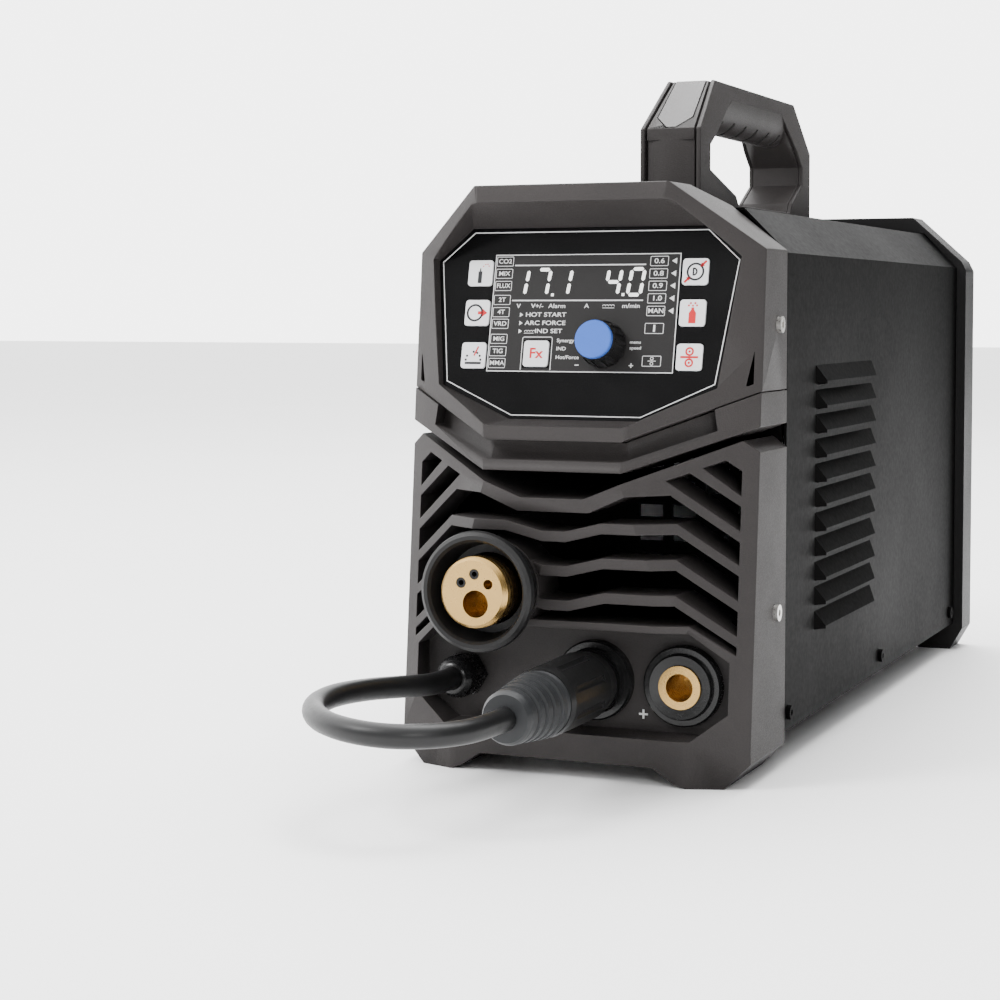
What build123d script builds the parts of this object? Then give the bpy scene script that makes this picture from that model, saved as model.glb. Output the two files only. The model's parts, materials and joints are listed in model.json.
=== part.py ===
from build123d import *
import math
import os

os.makedirs("parts", exist_ok=True)

# Compact MIG welding power source. Millimetres, +Z up, front towards -Y.
# y is written from the front edge of the sheet cover; the whole machine is
# moved to its final origin (middle of its footprint, on the floor) on export.

# ---- overall sizes ----
body_half = 89.0            # half the width over the cover
body_length = 408.0         # cover, front edge to rear edge
body_top = 272.0            # top of the cover
body_low = 17.5             # lower edge of the cover
corner_cut = 22.0           # chamfer along both top edges
sheet = 1.2                 # steel sheet
gap = 0.2                   # air between parts that only pass each other
fit = 0.1                   # air between a part and the one it sits in
shell = 3.5                 # moulded plastic wall

# ---- front mouldings ----
bezel_top = body_top + 10
bezel_flat = body_half - 39.4       # half length of the flat top edge
bezel_corner_z = body_top - 21
seam_side_z = 184.5
seam_mid_z = 161.4
seam_mid_half = 33.0
strip_side_z = 168.0
strip_mid_z = 147.4
strip_mid_half = 34.4
grille_top_side_z = 156.4
grille_top_in_z = 161.8
grille_crest_z = 135.0
grille_crest_half = 15.7
front_sweep = 0.70                  # how fast the side facets run back
front_lean = 0.0922                 # and how they lean with height
front_edge = -36.0                  # side facet at the cover's edge and corner
nose_top = -61.7                    # middle facet at the bezel's top
nose_lean = 0.1657
visor_depth = 30.0                  # the raised rim's back edge, ahead of the cover
chin_foot = -66.0                   # middle facet of the lower panel at the floor
chin_lean = -0.13
low_edge = -57.0                    # lower side facet at the side edge, z = 10
low_sweep = 0.34
low_lean = -0.08

# ---- display ----
display_z = 215.0                   # where the display plane's origin lies
display_y = -44.1
display_lean = 0.221
overlay_thick = 0.8
display_wall = 3.0
board_gap = 9.0
key_size = 12.8
key_rise = 0.8
key_column = body_half - 33.7
key_heights = [25.9, 6.0, -15.2]
key_names = ["top", "middle", "bottom"]
fx_key = (-22.5, -14.1)
knob_place = (12.0, -9.7)
knob_cap_r = 9.3
knob_body_r = 11.5
knob_length = 15.0
knob_shaft_r = 3.0

# ---- grille ----
slot_end = body_half - 7.0
rib_tops = [124.0, 107.6, 91.2]
rib_thick = 5.1
rib_dip = 4.5
rib_bend = 57.0
rib_slope = 0.79
grille_deep = 27.0
base_band_z = 76.8
recess_half = body_half - 9.6
recess_top = 73.3
recess_low = 22.4
recess_back = -48.0

# ---- sockets ----
euro_x = -32.5
euro_z = 91.0
euro_r = 16.8
euro_collar_r = 28.6
euro_seat_r = euro_collar_r - 5.5     # where the collar meets the grille
euro_front = -101.0
euro_rim = -98.0
socket_z = 45.5
plus_x = 54.0
minus_x = 9.4
flange_r = 19.2
socket_bore_r = 6.6
socket_pin_r = 6.4
socket_front = -57.0
insert_r = 10.3                     # brass insert
socket_neck_r = 13.0                # housing where it passes the front wall
gland_thread_r = 8.0
gland_x = -58.5
gland_z = 44.0

# ---- polarity lead: points of its route, chosen by hand ----
cable_r = 5.3
cable_route = [
    (9.4, -160.0, 45.5),
    (9.4, -184.0, 45.5),
    (0.0, -203.0, 45.3),
    (-18.0, -214.0, 45.2),
    (-40.0, -213.0, 46.0),
    (-61.0, -200.0, 47.0),
    (-75.0, -179.0, 48.0),
    (-79.0, -154.0, 48.4),
    (-74.0, -130.0, 47.8),
    (-65.0, -108.0, 46.2),
    (-59.2, -89.5, 44.5),
    (-58.6, -71.0, 44.05),
    (-58.5, -53.0, 44.0),
]

# ---- louvers ----
louver_count = 11
louver_pitch = 12.5
louver_top = 194.7
louver_front = 53.0
louver_length = 117.0
louver_high = 9.5
louver_rise = 4.5

# ---- rear ----
rear_half = 95.0
rear_top = body_top + 11
rear_depth = 27.0
rear_lap = 7.0
rear_wall = 4.0
rear_face = body_length - rear_lap + rear_depth
fan_x = 43.0
fan_z = 92.0
fan_size = 80.0
fan_thick = 25.0
fan_bore_r = fan_size / 2 - 1.5
rotor_r = fan_bore_r - 2.0
rotor_hub_r = 16.0
blade_count = 7

# ---- handle ----
handle_front = 85.0
handle_back = 304.0
handle_top = 347.5
handle_half = 17.0
handle_top_half = 13.6
handle_knee_z = 319.0
handle_slope_front = 35.0
handle_slope_back = 26.0
handle_leg = 18.0
handle_bar = 8.5
grip_low = 321.0
handle_wall = 2.6                      # thickness of the handle's side shells

# ---- inside ----
divider_x = 2.0
feed_y = 80.0
roll_r = 15.0
idler_r = 11.0
wire_r = 0.5
spool_y = 275.0
spool_z = 135.0
hub_r = 25.0

mains_reach = 26.0                                  # rear gland and gas spigot behind the rear face
axis_shift = (euro_front + rear_face + mains_reach) / 2     # middle of the machine's depth

nodes = {}


def keep(name, *shapes):
    found = []
    for shape in shapes:
        found.extend(shape.solids())
    nodes[name] = found


def box(x0, x1, y0, y1, z0, z1):
    middle = Pos((x0 + x1) / 2, (y0 + y1) / 2, (z0 + z1) / 2)
    return middle * Box(x1 - x0, y1 - y0, z1 - z0)


def rod_x(r, x0, x1, y, z):
    return Pos((x0 + x1) / 2, y, z) * Rot(0, 90, 0) * Cylinder(r, x1 - x0)


def rod_y(r, y0, y1, x, z):
    return Pos(x, (y0 + y1) / 2, z) * Rot(90, 0, 0) * Cylinder(r, y1 - y0)


def rod_z(r, z0, z1, x, y):
    return Pos(x, y, (z0 + z1) / 2) * Cylinder(r, z1 - z0)


def prism_y(outline, y0, y1):
    face = Face(Wire.make_polygon([Vector(x, y0, z) for x, z in outline]))
    return Part() + Solid.extrude(face, Vector(0, y1 - y0, 0))


def prism_x(outline, x0, x1):
    face = Face(Wire.make_polygon([Vector(x0, y, z) for y, z in outline]))
    return Part() + Solid.extrude(face, Vector(x1 - x0, 0, 0))


def around(u, v, r, degrees):
    angle = math.radians(degrees)
    return u + r * math.cos(angle), v + r * math.sin(angle)


def hexagon_y(across, y0, y1, x, z):
    r = across / math.sqrt(3)
    outline = [around(x, z, r, 60 * k) for k in range(6)]
    return prism_y(outline, y0, y1)


def mirrored(points):
    """Right-hand outline points, then the same ones on the left."""
    return points + [(-x, z) for x, z in reversed(points)]


def turned_y(profile, x, z):
    """Solid of revolution about an axis along Y; profile is (radius, y)."""
    face = Face(Wire.make_polygon([Vector(r, y, 0) for r, y in profile]))
    return Pos(x, 0, z) * revolve(face, Axis.Y)


# ---------------- front: three mouldings cut from one faceted form ----------------

def side_y(x, z):
    return front_edge + front_sweep * (x - body_half) + front_lean * (z - body_top + corner_cut)


def nose_y(z):
    return nose_top + nose_lean * (z - bezel_top)


def chin_y(z):
    return chin_foot + chin_lean * z


def low_y(x, z):
    return low_edge + low_sweep * (x - body_half) + low_lean * (z - 10)


hull_half = body_half + 12
hull_back = 60.0


def loft_between(lower, upper, z0, z1):
    low = Face(Wire.make_polygon([Vector(x, y, z0) for x, y in lower]))
    high = Face(Wire.make_polygon([Vector(x, y, z1) for x, y in upper]))
    return Part() + loft([low, high], ruled=True)


def crossing(line_y, z):
    """Half width at which the side facet meets the middle facet."""
    return body_half + (line_y(z) - side_y(body_half, z)) / front_sweep


def facet_hull(line_y, z0, z1, shift=0.0):
    rings = []
    for z in (z0, z1):
        half = crossing(line_y, z)
        edge = side_y(hull_half, z)
        ring = [(-hull_half, edge), (-half, line_y(z)), (half, line_y(z)), (hull_half, edge)]
        ring = [(x, y + shift) for x, y in ring] + [(hull_half, hull_back), (-hull_half, hull_back)]
        rings.append(ring)
    return loft_between(rings[0], rings[1], z0, z1)


def low_hull(z0, z1, shift=0.0):
    rings = []
    for z in (z0, z1):
        edge = low_y(hull_half, z) + shift
        ring = [(-hull_half, edge), (0, low_y(0, z) + shift), (hull_half, edge)]
        rings.append(ring + [(hull_half, hull_back), (-hull_half, hull_back)])
    return loft_between(rings[0], rings[1], z0, z1)


display = Plane(
    origin=(0, display_y, display_z),
    x_dir=(1, 0, 0),
    z_dir=(0, -1, display_lean),
)


def on_display(shape):
    return display.location * shape


def display_prism(outline, low, high):
    face = Face(Wire.make_polygon([Vector(x, v, low) for x, v in outline]))
    return on_display(Part() + Solid.extrude(face, Vector(0, 0, high - low)))


def overlay_outline(shrink=0.0):
    return mirrored([
        (body_half - 27.5 - shrink * 0.6, 48.6 - shrink),
        (body_half - 10.5 - shrink, 32.3 - shrink * 0.5),
        (body_half - 18.5 - shrink, -29.7 + shrink * 0.6),
        (body_half - 55.0 - shrink * 0.4, -46.1 + shrink),
    ])


def bezel_outline():
    return mirrored([
        (bezel_flat, bezel_top),
        (body_half, bezel_corner_z),
        (body_half, seam_side_z),
        (seam_mid_half, seam_mid_z),
    ])


def pocket_cutter():
    back = []
    for x, v in overlay_outline():
        back.append(display.from_local_coords(Vector(x, v, 0)))
    rim_y = -92.0
    rim = mirrored([
        (body_half - 50.7, bezel_top + 3),
        (body_half - 5.0, bezel_corner_z + 3),
        (body_half - 13.0, seam_side_z + 3.5),
        (seam_mid_half + 0.7, seam_mid_z + 5.8),
    ])
    front = [Vector(x, rim_y, z) for x, z in rim]
    return Part() + loft([Face(Wire.make_polygon(back)), Face(Wire.make_polygon(front))], ruled=True)


def front_bezel():
    form = prism_y(bezel_outline(), -110, 0) & facet_hull(nose_y, 140, 300)
    inner = mirrored([
        (bezel_flat - shell * 0.4, bezel_top - shell),
        (body_half - shell, bezel_corner_z - shell * 0.4),
        (body_half - shell, seam_side_z + shell),
        (seam_mid_half, seam_mid_z + shell),
    ])
    behind = on_display(Pos(0, 0, -150 - display_wall - overlay_thick) * Box(400, 400, 300))
    bezel = form - pocket_cutter() - (prism_y(inner, -110, 1) & behind)
    seat = display_prism(overlay_outline(), -overlay_thick, 30) & pocket_zone()
    bezel -= seat
    for cut in key_holes(gap + 0.15):
        bezel -= cut
    bezel -= on_display(Pos(*knob_place, 0) * Cylinder(knob_shaft_r + 1.2, 20))
    bezel -= display_prism([(-44, 34), (44, 34), (44, 2), (-44, 2)], -6, 1)
    visor = [(-visor_depth, bezel_top), (1, body_top + 1), (1, bezel_top + 9), (-visor_depth, bezel_top + 9)]
    bezel -= prism_x(visor, -hull_half, hull_half)
    for side in (-1, 1):
        y, z = side_screw_places()[0]
        bezel -= rod_x(2.1, *span(side, body_half - 6, body_half + 1), y, z)
    return bezel


def pocket_zone():
    return display_prism(overlay_outline(), -overlay_thick, 0.0)


def key_places():
    places = []
    for side, word in ((-1, "left"), (1, "right")):
        for height, name in zip(key_heights, key_names):
            places.append(("key_" + word + "_" + name, side * key_column, height))
    places.append(("key_function", fx_key[0], fx_key[1]))
    return places


def key_holes(room):
    cuts = []
    for name, x, v in key_places():
        hole = RectangleRounded(key_size + 2 * room, key_size + 2 * room, 1.6 + room)
        cuts.append(on_display(Pos(x, v, -10) * extrude(hole, 20)))
    return cuts


def key_cap():
    cap = extrude(RectangleRounded(key_size, key_size, 1.6), key_rise + overlay_thick + display_wall + 1.5)
    cap = Pos(0, 0, -(overlay_thick + display_wall + 1.5)) * cap
    rim = extrude(RectangleRounded(key_size + 3, key_size + 3, 2), 1.0)
    return cap + Pos(0, 0, -(overlay_thick + display_wall + 1.6)) * rim


def display_overlay():
    sheet_solid = display_prism(overlay_outline(0.15), -overlay_thick, -0.01)
    for cut in key_holes(gap):
        sheet_solid -= cut
    return sheet_solid - on_display(Pos(*knob_place, 0) * Cylinder(knob_shaft_r + 1.0, 20))


def display_board():
    low = -(overlay_thick + display_wall + board_gap)
    board = display_prism([(-66, 42), (66, 42), (66, -27), (34, -40), (-34, -40), (-66, -27)], low - 1.6, low)
    module = display_prism([(-43, 33), (43, 33), (43, 3), (-43, 3)], low, low + board_gap - 1.0)
    board += module
    for name, x, v in key_places():
        board += on_display(Pos(x, v, low + 1.75) * Box(6, 6, 3.5))
    for x, v in ((-62, 38), (62, 38), (-30, -37), (30, -37)):
        board += on_display(Pos(x, v, low + board_gap / 2) * Cylinder(2.4, board_gap))
    return board


def encoder():
    low = -(overlay_thick + display_wall + board_gap)
    can = on_display(Pos(*knob_place, low + 3.3) * Box(12, 12, 6.4))
    shaft = on_display(Pos(*knob_place, low + 6.5 + 7.5) * Cylinder(knob_shaft_r, 15))
    return can + shaft


def knob_body():
    height = knob_length - 2.2
    foot_r = knob_body_r - 0.6
    neck_r = knob_cap_r + 0.3
    body = Cone(foot_r, neck_r, height)
    lean = math.degrees(math.atan((foot_r - neck_r) / height))
    for k in range(14):
        ridge = Pos((foot_r + neck_r) / 2 - 0.3, 0, -0.8) * Rot(0, -lean, 0) * Box(1.8, 1.9, height - 2.0)
        body += Rot(0, 0, 360 / 14 * k) * ridge
    body -= Pos(0, 0, -height / 2) * Cylinder(knob_shaft_r + 0.05, 2 * 9.0)
    body -= Pos(0, 0, height / 2) * Cylinder(knob_cap_r - 1.3 + 0.05, 2 * 1.6)
    return on_display(Pos(*knob_place, 0.7 + height / 2) * body)


def knob_cap():
    stem = Pos(0, 0, knob_length - 3.0) * Cylinder(knob_cap_r - 1.3, 1.6)
    disc = Pos(0, 0, knob_length - 1.1) * Cylinder(knob_cap_r, 2.2)
    disc = fillet(disc.edges().group_by(Axis.Z)[-1], 0.9)
    return on_display(Pos(*knob_place, 0.7) * (stem + disc))


def front_strip():
    upper = mirrored([(body_half, seam_side_z - 0.5), (seam_mid_half, seam_mid_z - 0.5)])
    lower = mirrored([(body_half, strip_side_z), (strip_mid_half, strip_mid_z)])
    outline = [upper[0]] + lower + [upper[3], upper[2], upper[1]]
    form = prism_y(outline, -110, 0) & facet_hull(nose_y, 130, 200, -0.8)
    lip = 5.0
    notch = body_half - 17.0
    slope = (strip_side_z - strip_mid_z) / (body_half - strip_mid_half)
    lip_at = strip_mid_z + lip + slope * (notch - strip_mid_half)
    trough = mirrored([(notch - 3, seam_side_z), (notch, lip_at), (strip_mid_half, strip_mid_z + lip)])
    trough = prism_y(trough, -110, 0) - facet_hull(nose_y, 120, 210, 9.0)
    form -= trough
    inner = mirrored([
        (body_half - shell, seam_side_z + 10),
        (body_half - shell, strip_side_z + shell),
        (strip_mid_half, strip_mid_z + shell),
    ])
    return form - (prism_y(inner, -110, 1) & facet_hull(nose_y, 120, 230, 13.0))


def foot_line():
    return [
        (body_half, 12.0),
        (body_half - 12, 0.0),
        (body_half - 29, 0.0),
        (body_half - 35, 2.0),
        (body_half - 45, 8.8),
    ]


def rib_line(top, drop=0.0):
    """Upper edge of one rib, from the left slot end to the right one."""
    end = top - rib_slope * (slot_end - rib_bend)
    right = [(6, top - rib_dip), (24, top), (rib_bend, top), (slot_end, end)]
    points = [(-x, z - drop) for x, z in reversed(right)] + [(x, z - drop) for x, z in right]
    return points


def grille_slots():
    cuts = []
    crest_end = 114.7
    crest_bend = slot_end - (136.6 - crest_end) / rib_slope
    crest = [(18, 128.5), (36, 136.6), (crest_bend, 136.6), (slot_end, crest_end)]
    crest = [(-x, z) for x, z in reversed(crest)] + crest
    cuts.append(crest + list(reversed(rib_line(rib_tops[0]))))
    for upper, lower in zip(rib_tops[:-1], rib_tops[1:]):
        cuts.append(rib_line(upper, rib_thick) + list(reversed(rib_line(lower))))
    base_end = base_band_z - 0.75 * (slot_end - 63.0)
    base = [(slot_end, base_end), (63.0, base_band_z), (-63.0, base_band_z), (-slot_end, base_end)]
    cuts.append(rib_line(rib_tops[-1], rib_thick) + base)
    for side in (-1, 1):
        first = [(slot_end - 15.6, 149.4), (slot_end - 6.7, 152.8), (slot_end, 147.7), (slot_end, 136.2)]
        second = [(slot_end - 30, 143.8), (slot_end - 20.8, 147.2), (slot_end, 131.2), (slot_end, 120.0)]
        for outline in (first, second):
            cuts.append([(side * x, z) for x, z in outline])
    return cuts


def front_grille():
    top_line = [
        (grille_crest_half, grille_crest_z),
        (body_half - 6.8, grille_top_in_z),
        (body_half, grille_top_side_z),
    ]
    outline = mirrored(top_line + foot_line())
    hull = facet_hull(chin_y, -5, 175) & low_hull(-5, 175)
    form = prism_y(outline, -110, 0) & hull
    inner_top = mirrored([
        (grille_crest_half, grille_crest_z - shell - 2.5),
        (body_half - 9.0, grille_top_in_z - shell - 1.5),
        (body_half - shell, grille_top_side_z - shell - 1),
        (body_half - shell, recess_top + 3),
    ])
    deeper = facet_hull(chin_y, -5, 175, grille_deep) & low_hull(-5, 175, grille_deep)
    form -= prism_y(inner_top, -110, 1) & deeper
    form -= box(-body_half + shell, body_half - shell, recess_back + 3, 1, 14, recess_top + 3.01)
    seat = euro_seat()
    boss = rod_y(euro_seat_r + 0.5, seat, -52, euro_x, euro_z)
    for outline in grille_slots():
        form -= prism_y(outline, -112, -20)
    form += boss
    form -= rod_y(euro_seat_r + 2.6, -112, seat, euro_x, euro_z)
    recess = mirrored([
        (recess_half - 16.5, recess_top),
        (recess_half, recess_top - 14),
        (recess_half, recess_low + 13),
        (recess_half - 17, recess_low),
    ])
    form -= prism_y(recess, -112, recess_back)
    form -= rod_y(euro_r + 0.3, -112, 0, euro_x, euro_z)
    for x in (plus_x, minus_x):
        form -= rod_y(socket_neck_r + gap, recess_back - 1, recess_back + 5, x, socket_z)
    form -= rod_y(gland_thread_r + gap, recess_back - 1, recess_back + 5, gland_x, gland_z)
    for side in (-1, 1):
        for y, z in side_screw_places()[1:]:
            form -= rod_x(2.1, *span(side, body_half - 6, body_half + 1), y, z)
    return form


def euro_seat():
    """Flat pad on the leaning grille that the connector's collar sits on."""
    return chin_y(euro_z) + 0.6


def span(side, low, high):
    return (low, high) if side > 0 else (-high, -low)


def side_screw_places():
    return [(-15.4, 215.5), (-18.0, 78.0)]


def side_screws():
    screws = []
    for side in (-1, 1):
        for y, z in side_screw_places():
            head = rod_x(4.0, *span(side, body_half, body_half + 2.2), y, z)
            head -= rod_x(1.7, *span(side, body_half + 1.0, body_half + 3), y, z)
            shank = rod_x(1.95, *span(side, body_half - 5, body_half), y, z)
            screws.append(head + shank)
    return screws


# ---------------- sockets ----------------

def euro_collar():
    seat = euro_seat()
    profile = [
        (euro_r + 0.5, seat),
        (euro_seat_r, seat),
        (euro_collar_r, euro_rim + 3.5),
        (euro_collar_r - 0.6, euro_rim + 1.2),
        (euro_collar_r - 2.2, euro_rim),
        (euro_collar_r - 4.0, euro_rim),
        (euro_collar_r - 5.2, euro_rim + 1.6),
        (euro_seat_r - 2.2, seat - 4.0),
        (euro_r + 0.5, seat - 4.0),
    ]
    return turned_y(profile, euro_x, euro_z)


def euro_socket():
    y = euro_front
    profile = [(0, y), (euro_r - 1.6, y), (euro_r - 0.4, y + 1.2), (euro_r - 0.9, y + 2.4)]
    for k in range(3):
        start = y + 2.4 + 3.0 * k
        profile += [(euro_r, start + 0.9), (euro_r, start + 1.9), (euro_r - 0.9, start + 2.7)]
    profile += [(euro_r - 0.9, -48), (0, -48)]
    body = turned_y(profile, euro_x, euro_z)
    body -= rod_y(6.4, y - 1, y + 26, euro_x + 1.6, euro_z - 5.0)
    body -= rod_y(1.6, y - 1, -47, euro_x + 1.6, euro_z - 5.0)
    for dx, dz in euro_contact_places():
        body -= rod_y(2.5, y - 1, y + 20, euro_x + dx, euro_z + dz)
    body -= rod_y(2.3, y - 1, y + 14, euro_x + 8.0, euro_z + 4.4)
    tube = rod_y(4.0, -48, 40, euro_x, euro_z) - rod_y(1.6, -49, 41, euro_x, euro_z)
    return body + tube


def euro_contact_places():
    return [(1.0, 8.9), (-5.7, 4.7)]


def euro_contacts():
    pieces = []
    for dx, dz in euro_contact_places():
        sleeve = rod_y(2.5, euro_front + 0.2, euro_front + 20, euro_x + dx, euro_z + dz)
        sleeve -= rod_y(1.3, euro_front - 1, euro_front + 12, euro_x + dx, euro_z + dz)
        pieces.append(sleeve)
    return pieces


def socket_housing(x):
    profile = [
        (insert_r + fit, socket_front + 1.0),
        (flange_r - 4.2, socket_front + 0.4),
        (flange_r - 3.6, socket_front + 1.4),
        (flange_r - 3.2, socket_front + 3.4),
        (flange_r - 0.8, socket_front + 3.4),
        (flange_r, socket_front + 4.4),
        (flange_r, recess_back),
        (socket_neck_r, recess_back),
        (socket_neck_r, recess_back + 14),
        (insert_r + fit, recess_back + 14),
    ]
    return turned_y(profile, x, socket_z)


def socket_insert(x):
    ring = rod_y(insert_r, socket_front, socket_front + 32, x, socket_z)
    ring -= rod_y(socket_bore_r, socket_front - 1, socket_front + 27, x, socket_z)
    stud = rod_y(5.0, socket_front + 32, socket_front + 47, x, socket_z)
    return ring + stud


def gland_body():
    thread = rod_y(gland_thread_r, recess_back - 4, recess_back + 12, gland_x, gland_z)
    collar = hexagon_y(19, recess_back - 5, recess_back, gland_x, gland_z)
    return thread + collar


def gland_nut():
    start = recess_back - 5
    profile = [
        (cable_r + 0.3, start),
        (10.4, start),
        (10.4, start - 8),
        (9.4, start - 11.5),
        (7.4, start - 14.0),
        (6.6, start - 14.5),
        (cable_r + 0.3, start - 14.5),
    ]
    nut = turned_y(profile, gland_x, gland_z)
    for k in range(12):
        nut -= rod_y(1.0, start - 9.5, start - 1, *around(gland_x, gland_z, 10.6, 30 * k))
    return nut


# ---------------- polarity lead ----------------

def route_radii(points):
    radii = []
    for a, b, c in zip(points, points[1:], points[2:]):
        before = Vector(*b) - Vector(*a)
        after = Vector(*c) - Vector(*b)
        shorter = min(before.length, after.length)
        half_turn = math.radians(before.get_angle(after) / 2)
        radii.append(0.45 * shorter / math.tan(half_turn))
    return radii


def polarity_cable():
    radii = route_radii(cable_route)
    print("cable radii", [round(r, 1) for r in radii])
    path = FilletPolyline(*cable_route, radius=radii)
    start = Plane(origin=cable_route[0], z_dir=Vector(*cable_route[1]) - Vector(*cable_route[0]))
    tube = sweep(start * Circle(cable_r), path=path)
    full = math.pi * cable_r**2 * path.length
    print("cable length", round(path.length, 1), "volume ratio", round(tube.volume / full, 4))
    return tube


plug_front = cable_route[0][1]              # outer end of the boot
plug_back = socket_front - 0.5


def plug_boot():
    y = plug_front
    profile = [(0, y), (10.6, y), (11.6, y + 1.5)]
    for k in range(5):
        step = y + 3 + 7.0 * k
        r = 12.2 + 0.75 * k
        profile += [(r, step), (r + 0.3, step + 4.2), (r - 1.5, step + 5.2), (r - 1.4, step + 6.4)]
    end = y + 40
    profile += [(15.0, end), (0, end)]
    return turned_y(profile, minus_x, socket_z)


def plug_body():
    y = plug_front + 40
    z = socket_z
    profile = [
        (0, y),
        (15.4, y),
        (16.2, y + 4),
        (16.4, plug_back - 14),
        (15.2, plug_back - 4),
        (13.6, plug_back),
        (0, plug_back),
    ]
    body = turned_y(profile, minus_x, z)
    for k in range(8):
        body -= rod_y(2.2, y + 8, plug_back - 20, *around(minus_x, z, 17.6, 45 * k + 22.5))
    return body


def plug_pin():
    z = socket_z
    pin = rod_y(socket_pin_r - 0.9, plug_back, socket_front + 24, minus_x, z)
    return pin


# ---------------- sheet metal ----------------

def cover_outline(inset=0.0):
    ease = inset * math.tan(math.radians(22.5))
    half = body_half - inset
    crease = body_top - corner_cut
    return mirrored([
        (body_half - corner_cut - ease, body_top - inset),
        (half, crease - ease),
        (half, body_low),
    ])


def louver(side, y0, z_top, face_x):
    """One pressed louver: a wedge that stands out and is open along its lower edge."""
    def wedge(room, low_more):
        length = louver_length - 2 * room
        tall = louver_high - room
        z0 = z_top - louver_high - low_more
        y1 = y0 + room
        y2 = y1 + length
        z1 = z0 + tall + low_more
        base = [(y1, z0), (y2, z0), (y2, z1), (y1, z1)]
        ends = 6.0
        z1 = z0 + 1.4 + low_more
        tip = [(y1 + ends, z0), (y2 - ends, z0), (y2 - ends, z1), (y1 + ends, z1)]
        foot_x = face_x - side * (0.02 if room == 0 else sheet + 1.0)
        tip_x = face_x + side * (louver_rise - room)
        low = Face(Wire.make_polygon([Vector(foot_x, y, z) for y, z in base]))
        high = Face(Wire.make_polygon([Vector(tip_x, y, z) for y, z in tip]))
        return Part() + loft([low, high], ruled=True)
    return wedge(0.0, 0.0), wedge(1.0, 0.6)


def add_louvers(panel, side, y0, face_x):
    for k in range(louver_count):
        z_top = louver_top - k * louver_pitch
        out, hollow = louver(side, y0, z_top, face_x)
        panel += out
        panel -= hollow
    return panel


door_front = 5.0
door_back = body_length - rear_lap - 5
door_low = body_low + 4
door_top = body_top - corner_cut - 12
door_out = -body_half - gap - sheet
frame_edge = 10.0
latch_edge = 7.0


def cover():
    form = prism_y(cover_outline(), 0, body_length)
    inner = cover_outline(sheet)
    inner = [(x, z if z > body_low else z - 1) for x, z in inner]
    form -= prism_y(inner, -1, body_length + 1)
    form = add_louvers(form, 1, louver_front, body_half)
    bay = (door_front + frame_edge, door_back - latch_edge)
    form -= box(-body_half - 1, -body_half + 3, *bay, door_low + 8, door_top - 8)
    for y in cover_screw_rows():
        form -= rod_x(2.2, body_half - 3, body_half + 1, y, cover_screw_z)
        form -= rod_x(2.2, -body_half - 1, -body_half + 3, y, cover_screw_z)
    for x, y in handle_screw_places():
        form -= rod_z(2.7, body_top - 3, body_top + 1, x, y)
    return form


cover_screw_z = 26.0


def cover_screw_rows():
    return [5.5, body_length * 0.48, body_length - 21.0]


def cover_screws():
    screws = []
    for y in cover_screw_rows():
        head = rod_x(3.6, body_half, body_half + 2.0, y, cover_screw_z)
        head -= rod_x(1.5, body_half + 0.9, body_half + 3, y, cover_screw_z)
        screws.append(head + rod_x(2.0, body_half - 6, body_half, y, cover_screw_z))
    return screws


def side_door():
    y0 = door_front
    panel = box(door_out, door_out + sheet, y0, door_back, door_low + 12, door_top)
    panel = add_louvers(panel, -1, louver_front, door_out)
    for z in latch_heights:
        panel -= rod_x(6.3, door_out - 1, door_out + 3, door_back - latch_inset, z)
    for leaf in hinge_door_leaves():
        panel += leaf
    return panel


latch_heights = [door_low + 62, door_top - 50]
latch_inset = 20.0
latch_reach = latch_inset - latch_edge + 5.5        # the cam turns back behind the cover's frame


def door_latch(z):
    y = door_back - latch_inset
    knob = rod_x(9.0, door_out - 2.4, door_out, y, z)
    knob -= box(door_out - 4, door_out - 1.2, y - 7, y + 7, z - 1.0, z + 1.0)
    stem = rod_x(6.0, door_out, -body_half + sheet + 3.2, y, z)
    cam_x = -body_half + sheet + 3.2
    cam = box(cam_x, cam_x + 2.0, y - 5, y + 5, z - 5, z + latch_reach)
    return knob + stem + cam


hinge_y = door_front - 2.4
hinge_x = -body_half - 2.6
hinge_heights = [door_low + 40, door_top - 50]


def hinge_fixed_leaves():
    leaves = []
    for z in hinge_heights:
        for z0, z1 in ((z, z + 9), (z + 21, z + 30)):
            knuckle = rod_z(2.4, z0, z1, hinge_x, hinge_y)
            leaf = box(hinge_x, -body_half, hinge_y - 1.6, hinge_y - 0.4, z0, z1)
            leaves.append(knuckle + leaf - rod_z(1.3, z0 - 1, z1 + 1, hinge_x, hinge_y))
    return leaves


def hinge_door_leaves():
    leaves = []
    for z in hinge_heights:
        knuckle = rod_z(2.4, z + 9.3, z + 20.7, hinge_x, hinge_y)
        leaf = box(hinge_x - 1.6, door_out, hinge_y, hinge_y + 16, z + 9.3, z + 20.7)
        leaves.append(knuckle + leaf - rod_z(1.3, z, z + 30, hinge_x, hinge_y))
    return leaves


def hinge_pins():
    pins = []
    for z in hinge_heights:
        pins.append(rod_z(1.25, z - 0.5, z + 30.5, hinge_x, hinge_y))
    return pins


def base_tray():
    half = body_half - sheet - gap
    floor = body_low + 1.2
    tray = box(-half, half, 2, body_length - 1, floor, floor + 1.5)
    for side in (-1, 1):
        tray += box(*span(side, half - 1.5, half), 2, body_length - 1, floor, floor + 14)
    for y in cover_screw_rows():
        tray -= rod_x(2.1, half - 4, half + 1, y, cover_screw_z)
    for row in range(8):
        for column in range(4):
            y = 60 + 36 * row
            x = 18 + 17 * column
            tray -= box(x, x + 11, y, y + 20, floor - 1, floor + 3)
    return tray


floor_top = body_low + 1.2 + 1.5


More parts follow.
